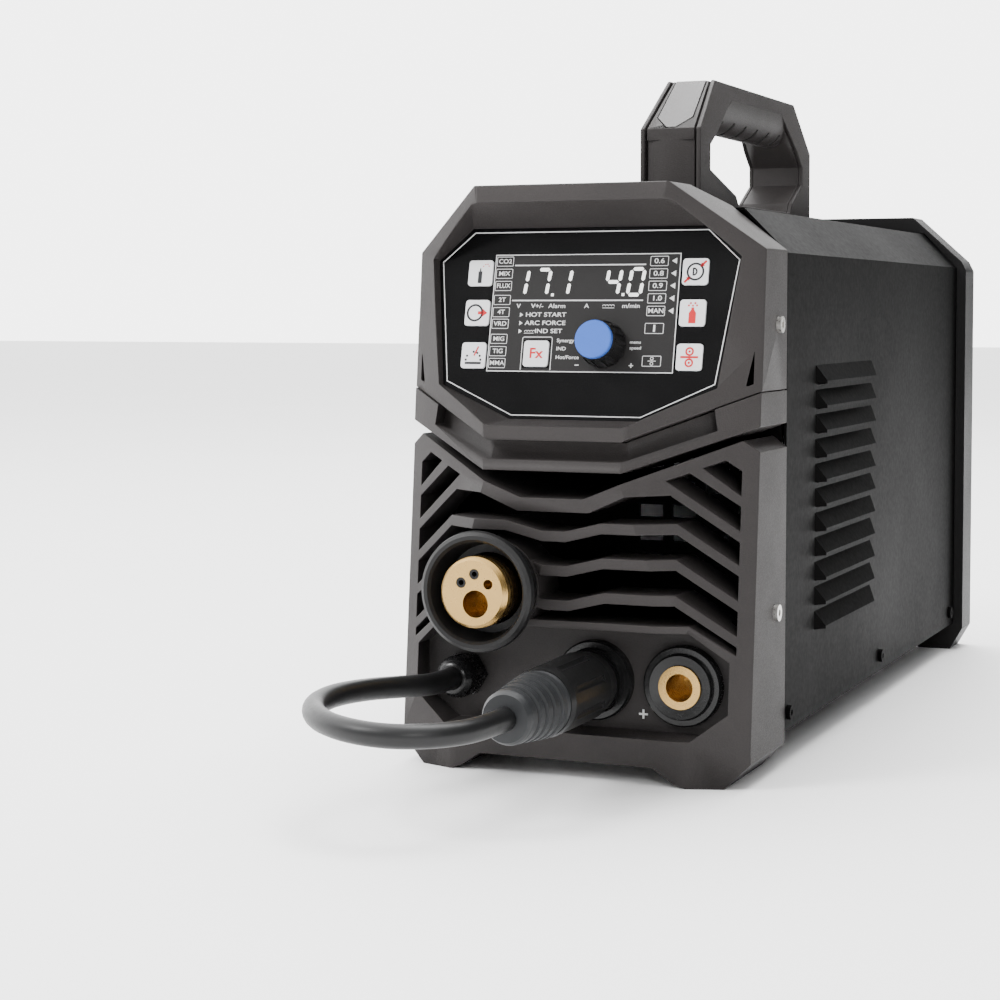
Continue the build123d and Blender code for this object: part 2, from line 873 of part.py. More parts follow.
def front_plate():
    plate = prism_y(cover_outline(sheet + 1.5), 0.2, 0.2 + sheet)
    plate -= box(-body_half, body_half, -1, 3, 0, floor_top)
    plate -= rod_y(4.4, -1, 4, euro_x, euro_z)
    for row in range(5):
        for column in range(4):
            x = 14 + 17 * column
            z = 96 + 12 * row
            plate -= box(x, x + 12, -1, 4, z, z + 6)
    return plate


def divider():
    panel = box(divider_x, divider_x + sheet, 2, body_length - 12, floor_top, body_top - 8)
    panel -= rod_x(9, divider_x - 1, divider_x + 3, feed_y, roll_z)
    return panel


# ---------------- rear ----------------

def rear_outline(inset=0.0):
    return mirrored([
        (body_half - 29 - inset * 0.4, rear_top - inset),
        (rear_half - 3 - inset * 0.7, body_top - 18 - inset * 0.6),
        (rear_half - inset, body_top - 24),
        (rear_half - inset, 14 + inset * 0.5),
        (rear_half - 8 - inset * 0.7, 0 + inset),
        (rear_half - 29 + inset, 0 + inset),
        (rear_half - 37, 8 + inset),
    ])


def rear_panel():
    front = body_length - rear_lap
    form = prism_y(rear_outline(), front, rear_face)
    form -= prism_y(rear_outline(shell), body_length + 2, rear_face - rear_wall)
    sleeve = cover_outline(-0.15)
    form -= prism_y(sleeve, front - 1, body_length + 2.01)
    ledge = cover_outline(sheet + 2)
    form -= prism_y(ledge, front - 1, rear_face - rear_wall)
    form -= rod_y(fan_bore_r, front, rear_face + 1, fan_x, fan_z)
    form -= box(switch_x - 14.2, switch_x + 14.2, front, rear_face + 1, switch_z - 11.2, switch_z + 11.2)
    form -= rod_y(8.1, front, rear_face + 1, mains_x, mains_z)
    form -= rod_y(5.2, front, rear_face + 1, gas_x, gas_z)
    return form


switch_x = 43.0
switch_z = 196.0
mains_x = 43.0
mains_z = 158.0
gas_x = -45.0
gas_z = 62.0
fan_back = rear_face - rear_wall


def fan_frame():
    half = fan_size / 2
    frame = box(fan_x - half, fan_x + half, fan_back - fan_thick, fan_back, fan_z - half, fan_z + half)
    frame -= rod_y(fan_bore_r - 0.5, fan_back - fan_thick - 1, fan_back + 1, fan_x, fan_z)
    for k in range(4):
        place = around(fan_x, fan_z, (half - 4.5) * math.sqrt(2), 45 + 90 * k)
        frame -= rod_y(2.2, fan_back - fan_thick - 1, fan_back + 1, *place)
    motor_cup = rod_y(rotor_hub_r - 2, fan_back - 4, fan_back - 1, fan_x, fan_z)
    for k in range(4):
        angle = 45 + 90 * k
        strut = Rot(0, angle, 0) * box(rotor_hub_r - 3, fan_bore_r + 0.5, -1.5, 1.5, -2.5, 2.5)
        motor_cup += Pos(fan_x, fan_back - 2.5, fan_z) * strut
    pin = rod_y(1.95, fan_back - fan_thick + 4, fan_back - 4, fan_x, fan_z)
    return frame + motor_cup + pin


def fan_rotor():
    low = fan_back - fan_thick + 2
    high = fan_back - 6
    hub = rod_y(rotor_hub_r, low, high, fan_x, fan_z) - rod_y(2.0, low - 1, high + 1, fan_x, fan_z)
    for k in range(blade_count):
        blade = Rot(0, 0, 38) * Box(19, 1.6, rotor_r - rotor_hub_r + 1)
        blade = Pos(0, 0, (rotor_hub_r + rotor_r) / 2 - 0.5) * blade
        hub += Pos(fan_x, (low + high) / 2, fan_z) * Rot(0, 360 / blade_count * k, 0) * blade
    return hub & rod_y(rotor_r, low, high, fan_x, fan_z)


def fan_guard():
    y = rear_face + 1.4
    guard = Part()
    for r in (10.0, 19.0, 28.0, 37.0):
        guard += Pos(fan_x, y, fan_z) * Rot(90, 0, 0) * Torus(r, 1.1)
    for k in range(4):
        angle = 45 + 90 * k
        spoke = Pos(23.5, 0, 0) * Rot(0, 90, 0) * Cylinder(1.1, 31)
        guard += Pos(fan_x, y + 0.6, fan_z) * Rot(0, angle, 0) * spoke
        x, z = around(fan_x, fan_z, 43.0, angle)
        guard += rod_y(4.2, rear_face, rear_face + 2, x, z) - rod_y(2.1, rear_face - 1, rear_face + 3, x, z)
    return guard


def power_switch_body():
    frame = box(switch_x - 16, switch_x + 16, rear_face, rear_face + 2.5, switch_z - 13, switch_z + 13)
    frame += box(switch_x - 14, switch_x + 14, rear_face - 24, rear_face, switch_z - 11, switch_z + 11)
    well = (rear_face - 10, rear_face + 3)
    frame -= box(switch_x - 12.4, switch_x + 12.4, *well, switch_z - 9.4, switch_z + 9.4)
    axle_y = rear_face - 4.0
    frame += rod_z(1.4, switch_z - 9.5, switch_z + 9.5, switch_x, axle_y)
    return frame


def power_switch_rocker():
    y = rear_face - 4.0
    outline = [
        (-9.9, y + 2.4),
        (-9.8, y + 7.6),
        (0, y + 6.0),
        (9.8, y + 4.4),
        (9.9, y + 1.0),
        (3, y - 3.2),
        (-3, y - 3.2),
    ]
    face = Face(Wire.make_polygon([Vector(switch_x + x, yy, switch_z - 9.0) for x, yy in outline]))
    rocker = Part() + Solid.extrude(face, Vector(0, 0, 18.0))
    return rocker - rod_z(1.45, switch_z - 10, switch_z + 10, switch_x, y)


def mains_gland():
    body = hexagon_y(24, rear_face, rear_face + 6, mains_x, mains_z)
    body += rod_y(8.0, rear_face - 16, rear_face + 12, mains_x, mains_z)
    profile = [
        (6.0, rear_face + 6),
        (11.5, rear_face + 6),
        (11.5, rear_face + 18),
        (8.6, rear_face + mains_reach),
        (6.0, rear_face + mains_reach),
    ]
    nut = turned_y(profile, mains_x, mains_z)
    return body + nut - rod_y(5.4, rear_face - 20, rear_face + 30, mains_x, mains_z)


def gas_inlet():
    nut = hexagon_y(14, rear_face, rear_face + 5, gas_x, gas_z)
    spigot = rod_y(3.6, rear_face + 5, rear_face + mains_reach, gas_x, gas_z)
    barb = Part()
    for k in range(3):
        y = rear_face + 10 + 5 * k
        barb += turned_y([(0, y), (4.2, y), (3.4, y + 4.5), (0, y + 4.5)], gas_x, gas_z)
    shank = rod_y(5.0, rear_face - 8, rear_face, gas_x, gas_z)
    return nut + spigot + barb + shank - rod_y(1.8, rear_face - 9, rear_face + 30, gas_x, gas_z)


def gas_valve():
    y1 = rear_face - 8
    block = box(gas_x - 11, gas_x + 11, y1 - 22, y1, gas_z - 9, gas_z + 9)
    coil = rod_z(9.5, gas_z + 9, gas_z + 31, gas_x, y1 - 11)
    outlet = rod_y(3.0, y1 - 27, y1 - 22, gas_x, gas_z)
    return block + coil + outlet


def gas_hose():
    start = (gas_x, rear_face - 35, gas_z)
    points = [
        start,
        (gas_x, rear_face - 54, gas_z),
        (gas_x, rear_face - 76, gas_z - 12),
        (gas_x, rear_face - 96, gas_z - 26),
        (gas_x - 1, rear_face - 140, floor_top + 9),
        (gas_x - 1, 190, floor_top + 6),
        (gas_x, 110, floor_top + 6.5),
        (gas_x, 62, floor_top + 16),
        (gas_x + 3, 34, 56),
        (euro_x, 27, 72),
        (euro_x, 26, euro_z - 4.2),
    ]
    path = FilletPolyline(*points, radius=route_radii(points))
    section = Plane(origin=points[0], z_dir=Vector(*points[1]) - Vector(*points[0])) * Circle(2.8)
    return sweep(section, path=path)


# ---------------- handle ----------------

def handle_profile(inset=0.0):
    return [
        (handle_front + inset, body_top),
        (handle_front + inset, handle_knee_z),
        (handle_front + handle_slope_front + inset * 0.4, handle_top - inset),
        (handle_back - handle_slope_back - inset * 0.4, handle_top - inset),
        (handle_back - inset, handle_knee_z),
        (handle_back - inset, body_top),
    ]


def handle_hole(grow=0.0):
    front = handle_front + handle_leg
    back = handle_back - handle_leg
    top = handle_top - handle_bar
    return [
        (front, 298),
        (front, 311),
        (front + 45, top + grow),
        (back - 38, top + grow),
        (back, 310),
        (back, 299),
        (back - 22, 287),
        (back - 26, body_top + 9),
        (front + 52, body_top + 9),
        (front + 47, 286),
    ]


def handle_limit(inset, rise=0.01):
    """The handle as seen from the front, its sides moved in by inset."""
    return prism_y(mirrored([
        (handle_half - inset, body_top - 1),
        (handle_half - inset, handle_knee_z),
        (handle_top_half - inset, handle_top + rise),
    ]), 0, body_length)


def handle_shells():
    ring = prism_x(handle_profile(), -handle_half, handle_half) - prism_x(handle_hole(), -30, 30)
    ring = ring & handle_limit(0)
    ring -= handle_limit(handle_wall, 2.0)
    left = ring & box(-handle_half - 1, 0, 0, body_length, 200, 400)
    right = ring & box(0, handle_half + 1, 0, body_length, 200, 400)
    return [left, right]


def handle_core():
    core = prism_x(handle_profile(0.4), -handle_half, handle_half) & handle_limit(handle_wall + 1.2, 2.0)
    core += prism_x(handle_profile(4.0), -handle_half, handle_half) & handle_limit(handle_wall, 2.0)
    core -= prism_x(handle_hole(), -30, 30)
    for x, y in handle_screw_places():
        core -= rod_z(2.7, body_top - 1, body_top + 12, x, y)
        core -= rod_z(5.2, body_top + 5, body_top + 14, x, y)
    for side in (-1, 1):
        facet = [(side * 4.5, handle_front - 1), (side * 17, handle_front - 1), (side * 17, handle_front + 2.6)]
        facet.append((side * 4.5, handle_front + 0.4))
        low = Face(Wire.make_polygon([Vector(x, y, body_top - 1) for x, y in facet]))
        core -= Part() + Solid.extrude(low, Vector(0, 0, handle_knee_z - body_top - 5))
    return core - cap_form(gap, 0.4)


cap_thick = 2.6


def cap_profile(room=0.0):
    """Side view of the inlaid cap over the front slope and the top."""
    back = handle_back - handle_slope_back - 20
    nose = handle_front + 0.4
    knee_y = handle_front + handle_slope_front + 0.5
    top = handle_top - 0.4
    return [
        (nose - 2, handle_knee_z - room),
        (nose + 3.4 + room, handle_knee_z - room),
        (knee_y + 1.2 + room, top - cap_thick - room),
        (back + room, top - cap_thick - room),
        (back + room, top + 3),
        (knee_y - 2, top + 3),
        (nose - 2, handle_knee_z + 3),
    ]


def cap_form(room=0.0, beside=0.0):
    """The cap narrows to a blunt point at its lower front end."""
    outline = mirrored([
        (2.6 + beside * 0.5, handle_knee_z + 0.8 - beside),
        (handle_half - handle_wall - 4.6 + beside, handle_knee_z + 6.5 - beside * 0.6),
        (handle_top_half - handle_wall - 2.8 + beside, handle_top + 4),
    ])
    return prism_x(cap_profile(room), -handle_half, handle_half) & prism_y(outline, 0, body_length)


def handle_cap():
    return cap_form() & prism_x(handle_profile(0.1), -30, 30)


def handle_grip():
    y0 = handle_front + handle_leg + 26
    y1 = handle_back - handle_leg - 18
    top = handle_top - handle_bar
    length = y1 - y0
    bar = extrude(Ellipse(handle_half - 2.5, top - grip_low), length / 2, both=True)
    bar = Pos(0, (y0 + y1) / 2, top) * Rot(90, 0, 0) * bar
    bar = bar & box(-20, 20, y0, y1, grip_low - 1, top) & prism_x(handle_hole(), -20, 20)
    for k in range(6):
        y = y0 + 12 + (length - 24) / 5 * k
        bar -= box(-20, 20, y - 1.3, y + 1.3, grip_low - 1, grip_low + 6.5)
    return bar


def handle_screw_places():
    return [(0.0, handle_front + handle_leg + 62), (0.0, handle_back - handle_leg - 34)]


def handle_screws():
    screws = []
    for x, y in handle_screw_places():
        head = rod_z(4.4, body_top + 5, body_top + 8.4, x, y) - Pos(x, y, body_top + 8.4) * Cylinder(2.0, 4)
        screws.append(head + rod_z(2.5, body_top - 8, body_top + 5, x, y))
    return screws


# ---------------- wire feeder ----------------

roll_z = euro_z - roll_r - wire_r
idler_z = euro_z + idler_r + wire_r
arm_pivot = (feed_y - 34, euro_z + 22)
roll_x0 = euro_x - 5
roll_x1 = euro_x + 5


def feeder_plate():
    plate = box(-4, divider_x, feed_y - 50, feed_y + 46, euro_z - 46, euro_z + 34)
    plate -= rod_x(6.2, -5, divider_x + 1, feed_y, roll_z)
    block = box(roll_x0 - 1, -4, feed_y + 34, feed_y + 44, euro_z - 9, euro_z + 6)
    block -= rod_y(1.8, feed_y + 30, feed_y + 50, euro_x, euro_z)
    front_block = box(roll_x0 - 1, -4, feed_y - 39.5, feed_y - 24, euro_z - 9, euro_z + 6)
    front_block -= rod_y(4.1, feed_y - 45, feed_y - 32, euro_x, euro_z)
    front_block -= rod_y(1.8, feed_y - 45, feed_y - 20, euro_x, euro_z)
    pivot = rod_x(3.0, roll_x0 + 2, -4, *arm_pivot)
    return plate + block + front_block + pivot


def feed_motor():
    x0 = divider_x + sheet
    gearbox = box(x0, x0 + 24, feed_y - 21, feed_y + 21, roll_z - 21, roll_z + 21)
    can = rod_x(19.5, x0 + 24, x0 + 74, feed_y, roll_z)
    cap = rod_x(8.0, x0 + 74, x0 + 79, feed_y, roll_z)
    return gearbox + can + cap


def drive_roll():
    roll = rod_x(roll_r, roll_x0, roll_x1, feed_y, roll_z)
    for x in (euro_x - 2.5, euro_x + 2.5):
        ring = Pos(x, feed_y, roll_z) * Rot(0, 90, 0) * Torus(roll_r, 0.5)
        roll -= ring
    shaft = rod_x(5.0, roll_x1, divider_x + sheet - 0.3, feed_y, roll_z)
    knob = rod_x(9.0, roll_x0 - 8, roll_x0, feed_y, roll_z)
    for k in range(6):
        knob -= rod_x(1.6, roll_x0 - 9, roll_x0 - 1, *around(feed_y, roll_z, 9.6, 60 * k))
    return roll + shaft + knob


def pressure_arm():
    x0 = roll_x1 + 2
    x1 = x0 + 7
    y0, z0 = arm_pivot
    arm = rod_x(7.0, x0, x1, y0, z0)
    side_view = [
        (y0, z0 - 6),
        (feed_y, idler_z - 5),
        (feed_y + 20, idler_z - 5),
        (feed_y + 36, idler_z + 2),
        (feed_y + 36, idler_z + 12),
        (feed_y + 16, idler_z + 12),
        (y0, z0 + 6),
    ]
    arm += prism_x(side_view, x0, x1)
    arm += box(roll_x0 + 2, x1, feed_y + 24, feed_y + 36, idler_z + 3, idler_z + 12)
    arm += rod_x(3.0, roll_x0 - 2, x0, feed_y, idler_z)
    arm -= rod_x(3.05, x0 - 1, x1 + 1, y0, z0)
    arm -= rod_z(3.05, idler_z, idler_z + 20, euro_x + 2, feed_y + 30)
    return arm


def pressure_roll():
    roll = rod_x(idler_r, roll_x0, roll_x1, feed_y, idler_z)
    return roll - rod_x(3.05, roll_x0 - 1, roll_x1 + 1, feed_y, idler_z)


def tension_knob():
    x, y = euro_x + 2, feed_y + 30
    z = idler_z + 12
    body = rod_z(8.5, z + 0.3, z + 22, x, y)
    for k in range(10):
        body -= rod_z(1.1, z + 4, z + 23, *around(x, y, 8.9, 36 * k))
    return body + rod_z(3.0, z - 12, z + 0.3, x, y)


def spool_spindle():
    plate = box(-3, divider_x, spool_y - 30, spool_y + 30, spool_z - 30, spool_z + 30)
    return plate + rod_x(8.0, -68, -3, spool_y, spool_z)


def spool_hub():
    hub = rod_x(hub_r, -60, -8, spool_y, spool_z) + rod_x(hub_r + 7, -8, -5, spool_y, spool_z)
    hub -= rod_x(8.05, -61, -4, spool_y, spool_z)
    hub -= rod_x(hub_r - 4, -61, -40, spool_y, spool_z) - rod_x(12, -62, -39, spool_y, spool_z)
    return hub + rod_x(3, -14, -6, spool_y, spool_z + 28)


def hub_nut():
    nut = rod_x(15.0, -78, -68, spool_y, spool_z)
    for k in range(6):
        nut -= rod_x(3.2, -79, -67, *around(spool_y, spool_z, 16.5, 60 * k))
    return nut


# ---------------- power electronics ----------------

power_x0 = divider_x + sheet + 8
power_x1 = body_half - sheet - 5


def heatsinks():
    pieces = []
    for y0 in (150, 262):
        block = box(power_x0, power_x1 - 6, y0, y0 + 96, 98, 104)
        for k in range(12):
            x = power_x0 + 0.5 + (power_x1 - 8.5 - power_x0) / 11 * k
            block += box(x, x + 1.5, y0, y0 + 96, 68, 98)
        pieces.append(block)
    return pieces


def heatsink_rails():
    rails = []
    for x in (power_x0, power_x1 - 12):
        rails.append(box(x, x + 5, 150, 358, floor_top, 68))
    return rails


def main_board():
    board = box(power_x0 - 4, power_x1 - 2, 132, 366, 114, 115.6)
    for x in (power_x0 + 2, power_x1 - 10):
        for y in (160, 340):
            board += box(x, x + 4, y, y + 4, 104, 114)
    for k in range(6):
        board += box(power_x0 + 6 + 10 * k, power_x0 + 13 + 10 * k, 140, 146, 115.6, 124)
    return board


def capacitors():
    pieces = []
    for k in range(3):
        y = 336 - 34 * k
        can = rod_z(11.5, 115.6, 160, power_x0 + 14, y)
        pieces.append(fillet(can.edges().group_by(Axis.Z)[-1], 1.2))
    return pieces


def transformer():
    core = box(power_x1 - 40, power_x1 - 8, 232, 292, 115.6, 168)
    core -= box(power_x1 - 41, power_x1 - 7, 242, 256, 127, 157)
    core -= box(power_x1 - 41, power_x1 - 7, 268, 282, 127, 157)
    return core


def transformer_winding():
    coil = box(power_x1 - 44, power_x1 - 4, 242.3, 281.7, 127.5, 156.5)
    return coil - box(power_x1 - 45, power_x1 - 3, 255.8, 268.2, 126, 158)


def choke():
    ring = Pos(power_x1 - 24, 190, 115.6 + 15) * Torus(14, 7.0)
    return ring & box(0, 200, 0, 400, 115.6, 200)


keep("front_bezel", front_bezel())
keep("front_strip", front_strip())
keep("front_grille", front_grille())
keep("side_screws", *side_screws())
keep("display_overlay", display_overlay())
keep("display_board", display_board(), encoder())
keep("knob_body", knob_body())
keep("knob_cap", knob_cap())
for name, x, v in key_places():
    keep(name, on_display(Pos(x, v, 0) * key_cap()))
keep("euro_collar", euro_collar())
keep("euro_socket", euro_socket())
keep("euro_contacts", *euro_contacts())
keep("socket_housings", socket_housing(plus_x), socket_housing(minus_x))
keep("socket_inserts", socket_insert(plus_x), socket_insert(minus_x))
keep("polarity_gland", gland_body(), gland_nut())
keep("polarity_cable", polarity_cable())
keep("polarity_plug_boot", plug_boot())
keep("polarity_plug_body", plug_body() + plug_pin())
keep("cover", cover())
keep("black_screws", *cover_screws(), *handle_screws())
keep("side_door", side_door())
keep("door_latch_lower", door_latch(latch_heights[0]))
keep("door_latch_upper", door_latch(latch_heights[1]))
keep("door_hinges", *hinge_fixed_leaves(), *hinge_pins())
keep("base_tray", base_tray())
keep("front_plate", front_plate())
keep("divider", divider())
keep("rear_panel", rear_panel())
keep("fan_frame", fan_frame())
keep("fan_rotor", fan_rotor())
keep("fan_guard", fan_guard())
keep("power_switch_body", power_switch_body())
keep("power_switch_rocker", power_switch_rocker())
keep("mains_gland", mains_gland())
keep("gas_inlet", gas_inlet())
keep("gas_valve", gas_valve())
keep("gas_hose", gas_hose())
keep("handle_shells", *handle_shells())
keep("handle_core", handle_core() + handle_grip())
keep("handle_cap", handle_cap())
keep("feeder_plate", feeder_plate())
keep("feed_motor", feed_motor())
keep("drive_roll", drive_roll())
keep("pressure_arm", pressure_arm())
keep("pressure_roll", pressure_roll())
keep("tension_knob", tension_knob())
keep("spool_spindle", spool_spindle())
keep("spool_hub", spool_hub())
keep("hub_nut", hub_nut())
keep("heatsinks", *heatsinks(), *heatsink_rails())
keep("main_board", main_board())
keep("capacitors", *capacitors())
keep("transformer", transformer(), transformer_winding())
keep("choke", choke())

print("nodes", len(nodes), "shift", axis_shift)
for name, solids in nodes.items():
    placed = [Pos(0, -axis_shift, 0) * solid for solid in solids]
    shape = placed[0] if len(placed) == 1 else Compound(children=placed)
    export_step(shape, "parts/" + name + ".step")
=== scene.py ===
import json
import math

import bmesh
import bpy
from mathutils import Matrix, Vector


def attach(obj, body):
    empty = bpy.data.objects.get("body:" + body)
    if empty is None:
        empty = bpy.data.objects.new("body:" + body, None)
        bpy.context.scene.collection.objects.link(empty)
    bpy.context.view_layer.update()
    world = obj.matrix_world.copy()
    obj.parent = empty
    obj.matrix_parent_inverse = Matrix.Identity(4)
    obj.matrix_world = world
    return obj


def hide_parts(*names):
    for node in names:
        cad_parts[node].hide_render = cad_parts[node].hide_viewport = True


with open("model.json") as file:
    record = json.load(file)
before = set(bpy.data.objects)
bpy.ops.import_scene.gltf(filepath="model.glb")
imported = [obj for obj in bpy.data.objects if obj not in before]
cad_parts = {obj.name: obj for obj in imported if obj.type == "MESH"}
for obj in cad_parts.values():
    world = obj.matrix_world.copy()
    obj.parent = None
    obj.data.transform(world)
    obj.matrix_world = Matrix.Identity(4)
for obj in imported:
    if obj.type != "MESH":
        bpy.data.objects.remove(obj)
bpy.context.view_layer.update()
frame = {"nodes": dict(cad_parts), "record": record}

nodes = frame["nodes"]
bodyOf = {name: body for body, members in frame["record"]["behaviour"]["bodies"].items() for name in members}
mm = 0.001
backShift = 176.5  # from the cover's front edge to the middle of the machine


def spot(x, y, z):
    return Vector((x * mm, (y - backShift) * mm, z * mm))


# camera
view = {
    "place": (0.37566, -1.19142, 0.22212),
    "turn": (87.1088, 0.0, 23.3238),
    "lens": 77.993,
    "sensor": 36.0,
    "rise": -0.08,
    "near": 0.05,
    "far": 30,
}


def setCamera():
    data = bpy.data.cameras.new("camera")
    data.sensor_width = view["sensor"]
    data.lens = view["lens"]
    data.shift_y = view["rise"]
    data.clip_start = view["near"]
    data.clip_end = view["far"]
    camera = bpy.data.objects.new("camera", data)
    camera.location = view["place"]
    camera.rotation_euler = [math.radians(a) for a in view["turn"]]
    bpy.context.scene.collection.objects.link(camera)
    bpy.context.scene.camera = camera


setCamera()
print("camera set")

# polarity lead, from the gland to the plug's boot
lead = {
    "thick": 0.0106,
    "length": 0.258,
    "order": 3,
    "steps": 16,
    "sides": 8,
    "route": [
        (-58.5, -53.0, 44.0),
        (-58.6, -71.0, 44.05),
        (-59.2, -89.5, 44.5),
        (-65.0, -108.0, 46.2),
        (-74.0, -130.0, 47.8),
        (-79.0, -154.0, 48.4),
        (-75.0, -179.0, 48.0),
        (-61.0, -200.0, 47.0),
        (-40.0, -213.0, 46.0),
        (-18.0, -214.0, 45.2),
        (0.0, -203.0, 45.3),
        (9.4, -184.0, 45.5),
        (9.4, -160.0, 45.5),
    ],
}


def layLead():
    curve = bpy.data.curves.new("polarityLead", "CURVE")
    curve.dimensions = "3D"
    spline = curve.splines.new("NURBS")
    spline.points.add(len(lead["route"]) - 1)
    for point, place in zip(spline.points, lead["route"]):
        point.co = (*spot(*place), 1.0)
        point.radius = lead["thick"] / 2
    spline.order_u = lead["order"]
    spline.use_endpoint_u = True
    curve.resolution_u = lead["steps"]
    # the thickness is in the radius of each point
    curve.bevel_depth = 1.0
    curve.bevel_resolution = lead["sides"]
    curve.use_fill_caps = True
    cable = bpy.data.objects.new("polarityLead", curve)
    bpy.context.scene.collection.objects.link(cable)
    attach(cable, "chassis")
    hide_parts("polarity_cable")
    spot(*lead["route"][0])
    return cable


leadPiece = layLead()
print("lead laid")


# a socket that takes part in sums
class Signal:
    def __init__(self, finish, socket):
        self.finish = finish
        self.socket = socket

    def __add__(self, other):
        return self.finish.sum("ADD", self, other)

    def __radd__(self, other):
        return self.finish.sum("ADD", other, self)

    def __sub__(self, other):
        return self.finish.sum("SUBTRACT", self, other)

    def __rsub__(self, other):
        return self.finish.sum("SUBTRACT", other, self)

    def __mul__(self, other):
        return self.finish.sum("MULTIPLY", self, other)

    def __rmul__(self, other):
        return self.finish.sum("MULTIPLY", other, self)

    def __truediv__(self, other):
        return self.finish.sum("DIVIDE", self, other)

    def __pow__(self, other):
        return self.finish.sum("POWER", self, other)


class Finish:
    def __init__(self, name):
        self.material = bpy.data.materials.new(name)
        self.material.use_nodes = True
        self.tree = self.material.node_tree
        self.tree.nodes.clear()

    def node(self, kind, settings=None, values=None, output=0):
        made = self.tree.nodes.new(kind)
        for key, value in (settings or {}).items():
            setattr(made, key, value)
        for key, value in (values or {}).items():
            if isinstance(value, Signal):
                self.tree.links.new(value.socket, made.inputs[key])
            else:
                made.inputs[key].default_value = value
        return Signal(self, made.outputs[output]) if len(made.outputs) else None

    def sum(self, operation, *terms):
        return self.node("ShaderNodeMath", {"operation": operation}, dict(enumerate(terms)))

    def place(self):
        return self.node("ShaderNodeTexCoord", output=3)

    def axis(self, letter, where):
        return self.node("ShaderNodeSeparateXYZ", None, {0: where}, "XYZ".index(letter))

    def stretched(self, scale):
        return self.node("ShaderNodeVectorMath", {"operation": "MULTIPLY"}, {0: self.place(), 1: scale})

    def noise(self, scale, detail=2.0, rough=0.55, where=None):
        values = {"Vector": where or self.place(), "Scale": scale, "Detail": detail, "Roughness": rough}
        return self.node("ShaderNodeTexNoise", None, values)

    def band(self, signal, low, high, toLow=0.0, toHigh=1.0):
        values = {"Value": signal, "From Min": low, "From Max": high, "To Min": toLow, "To Max": toHigh}
        return self.node("ShaderNodeMapRange", {"clamp": True}, values)

    def mix(self, mask, first, second):
        first = (*first, 1.0) if isinstance(first, tuple) and len(first) == 3 else first
        second = (*second, 1.0) if isinstance(second, tuple) and len(second) == 3 else second
        return self.node("ShaderNodeMix", {"data_type": "RGBA"}, {0: mask, 6: first, 7: second}, 2)

    def bump(self, height, distance, strength):
        values = {"Height": height, "Distance": distance, "Strength": strength}
        return self.node("ShaderNodeBump", None, values)

    def surface(self, **values):
        named = {key.replace("_", " "): value for key, value in values.items()}
        shader = self.node("ShaderNodeBsdfPrincipled", None, named)
        self.node("ShaderNodeOutputMaterial", None, {0: shader})
        return self.material


def shade(colour, factor):
    return tuple(min(1.0, c * factor) for c in colour)


# moulded plastics: fine pebble grain, faint cloudiness and slightly polished high spots
moulded = {
    "case_plastic": dict(
        colour=(0.025, 0.0221, 0.0217), rough=(0.46, 0.60),
        grain=1500, depth=0.00007, cloud=0.14, specular=0.20,
    ),
    "cap_plastic": dict(
        colour=(0.066, 0.062, 0.062), rough=(0.36, 0.48),
        grain=1700, depth=0.00005, cloud=0.10, specular=0.45,
    ),
    "black_plastic": dict(
        colour=(0.0070, 0.0068, 0.0070), rough=(0.36, 0.50),
        grain=1600, depth=0.00005, cloud=0.15, specular=0.26,
    ),
    "rear_plastic": dict(
        colour=(0.0055, 0.0053, 0.0054), rough=(0.40, 0.54),
        grain=1500, depth=0.00006, cloud=0.14, specular=0.14,
    ),
    "gloss_black": dict(
        colour=(0.006, 0.006, 0.0062), rough=(0.17, 0.30),
        grain=900, depth=0.00002, cloud=0.12, specular=0.3,
    ),
    "blue_plastic": dict(
        colour=(0.040, 0.105, 0.400), rough=(0.42, 0.52),
        grain=1900, depth=0.00004, cloud=0.08, specular=0.15,
    ),
    "red_plastic": dict(
        colour=(0.42, 0.016, 0.014), rough=(0.25, 0.36),
        grain=1200, depth=0.00003, cloud=0.08, specular=0.5,
    ),
    "key_white": dict(
        colour=(0.66, 0.66, 0.67), rough=(0.30, 0.40),
        grain=1500, depth=0.00002, cloud=0.03, specular=0.45,
    ),
    "nylon": dict(
        colour=(0.020, 0.020, 0.021), rough=(0.42, 0.55),
        grain=1200, depth=0.00006, cloud=0.12, specular=0.45,
    ),
    "capacitor_sleeve": dict(
        colour=(0.015, 0.028, 0.080), rough=(0.20, 0.30),
        grain=800, depth=0.00003, cloud=0.10, specular=0.5,
    ),
    "ferrite": dict(
        colour=(0.030, 0.029, 0.031), rough=(0.55, 0.75),
        grain=1100, depth=0.00010, cloud=0.30, specular=0.4,
    ),
}


def mouldedFinish(name, colour, rough, grain, depth, cloud, specular):
    finish = Finish(name)
    patches = finish.noise(14, 3.0)
    pebbles = finish.noise(grain, 2.0, 0.6)
    fine = finish.noise(grain * 2.7, 1.0, 0.5)
    tone = finish.band(patches, 0.3, 0.7) * 0.7 + finish.band(pebbles, 0.35, 0.65) * 0.3
    base = finish.mix(tone, shade(colour, 1 - cloud), shade(colour, 1 + cloud))
    roughness = finish.band(pebbles * 0.6 + patches * 0.4, 0.35, 0.65, rough[1], rough[0])
    height = finish.band(pebbles, 0.3, 0.75) + fine * 0.3
    normal = finish.bump(height, depth, 0.75)
    return finish.surface(Base_Color=base, Roughness=roughness, Normal=normal, Specular_IOR_Level=specular)


# painted sheet: satin powder coat with orange peel
painted = {
    "black_steel": dict(colour=(0.0018, 0.0017, 0.0017), rough=(0.44, 0.54), peel=420, depth=0.00004),
    "motor_steel": dict(colour=(0.10, 0.103, 0.106), rough=(0.30, 0.40), peel=500, depth=0.00004),
}


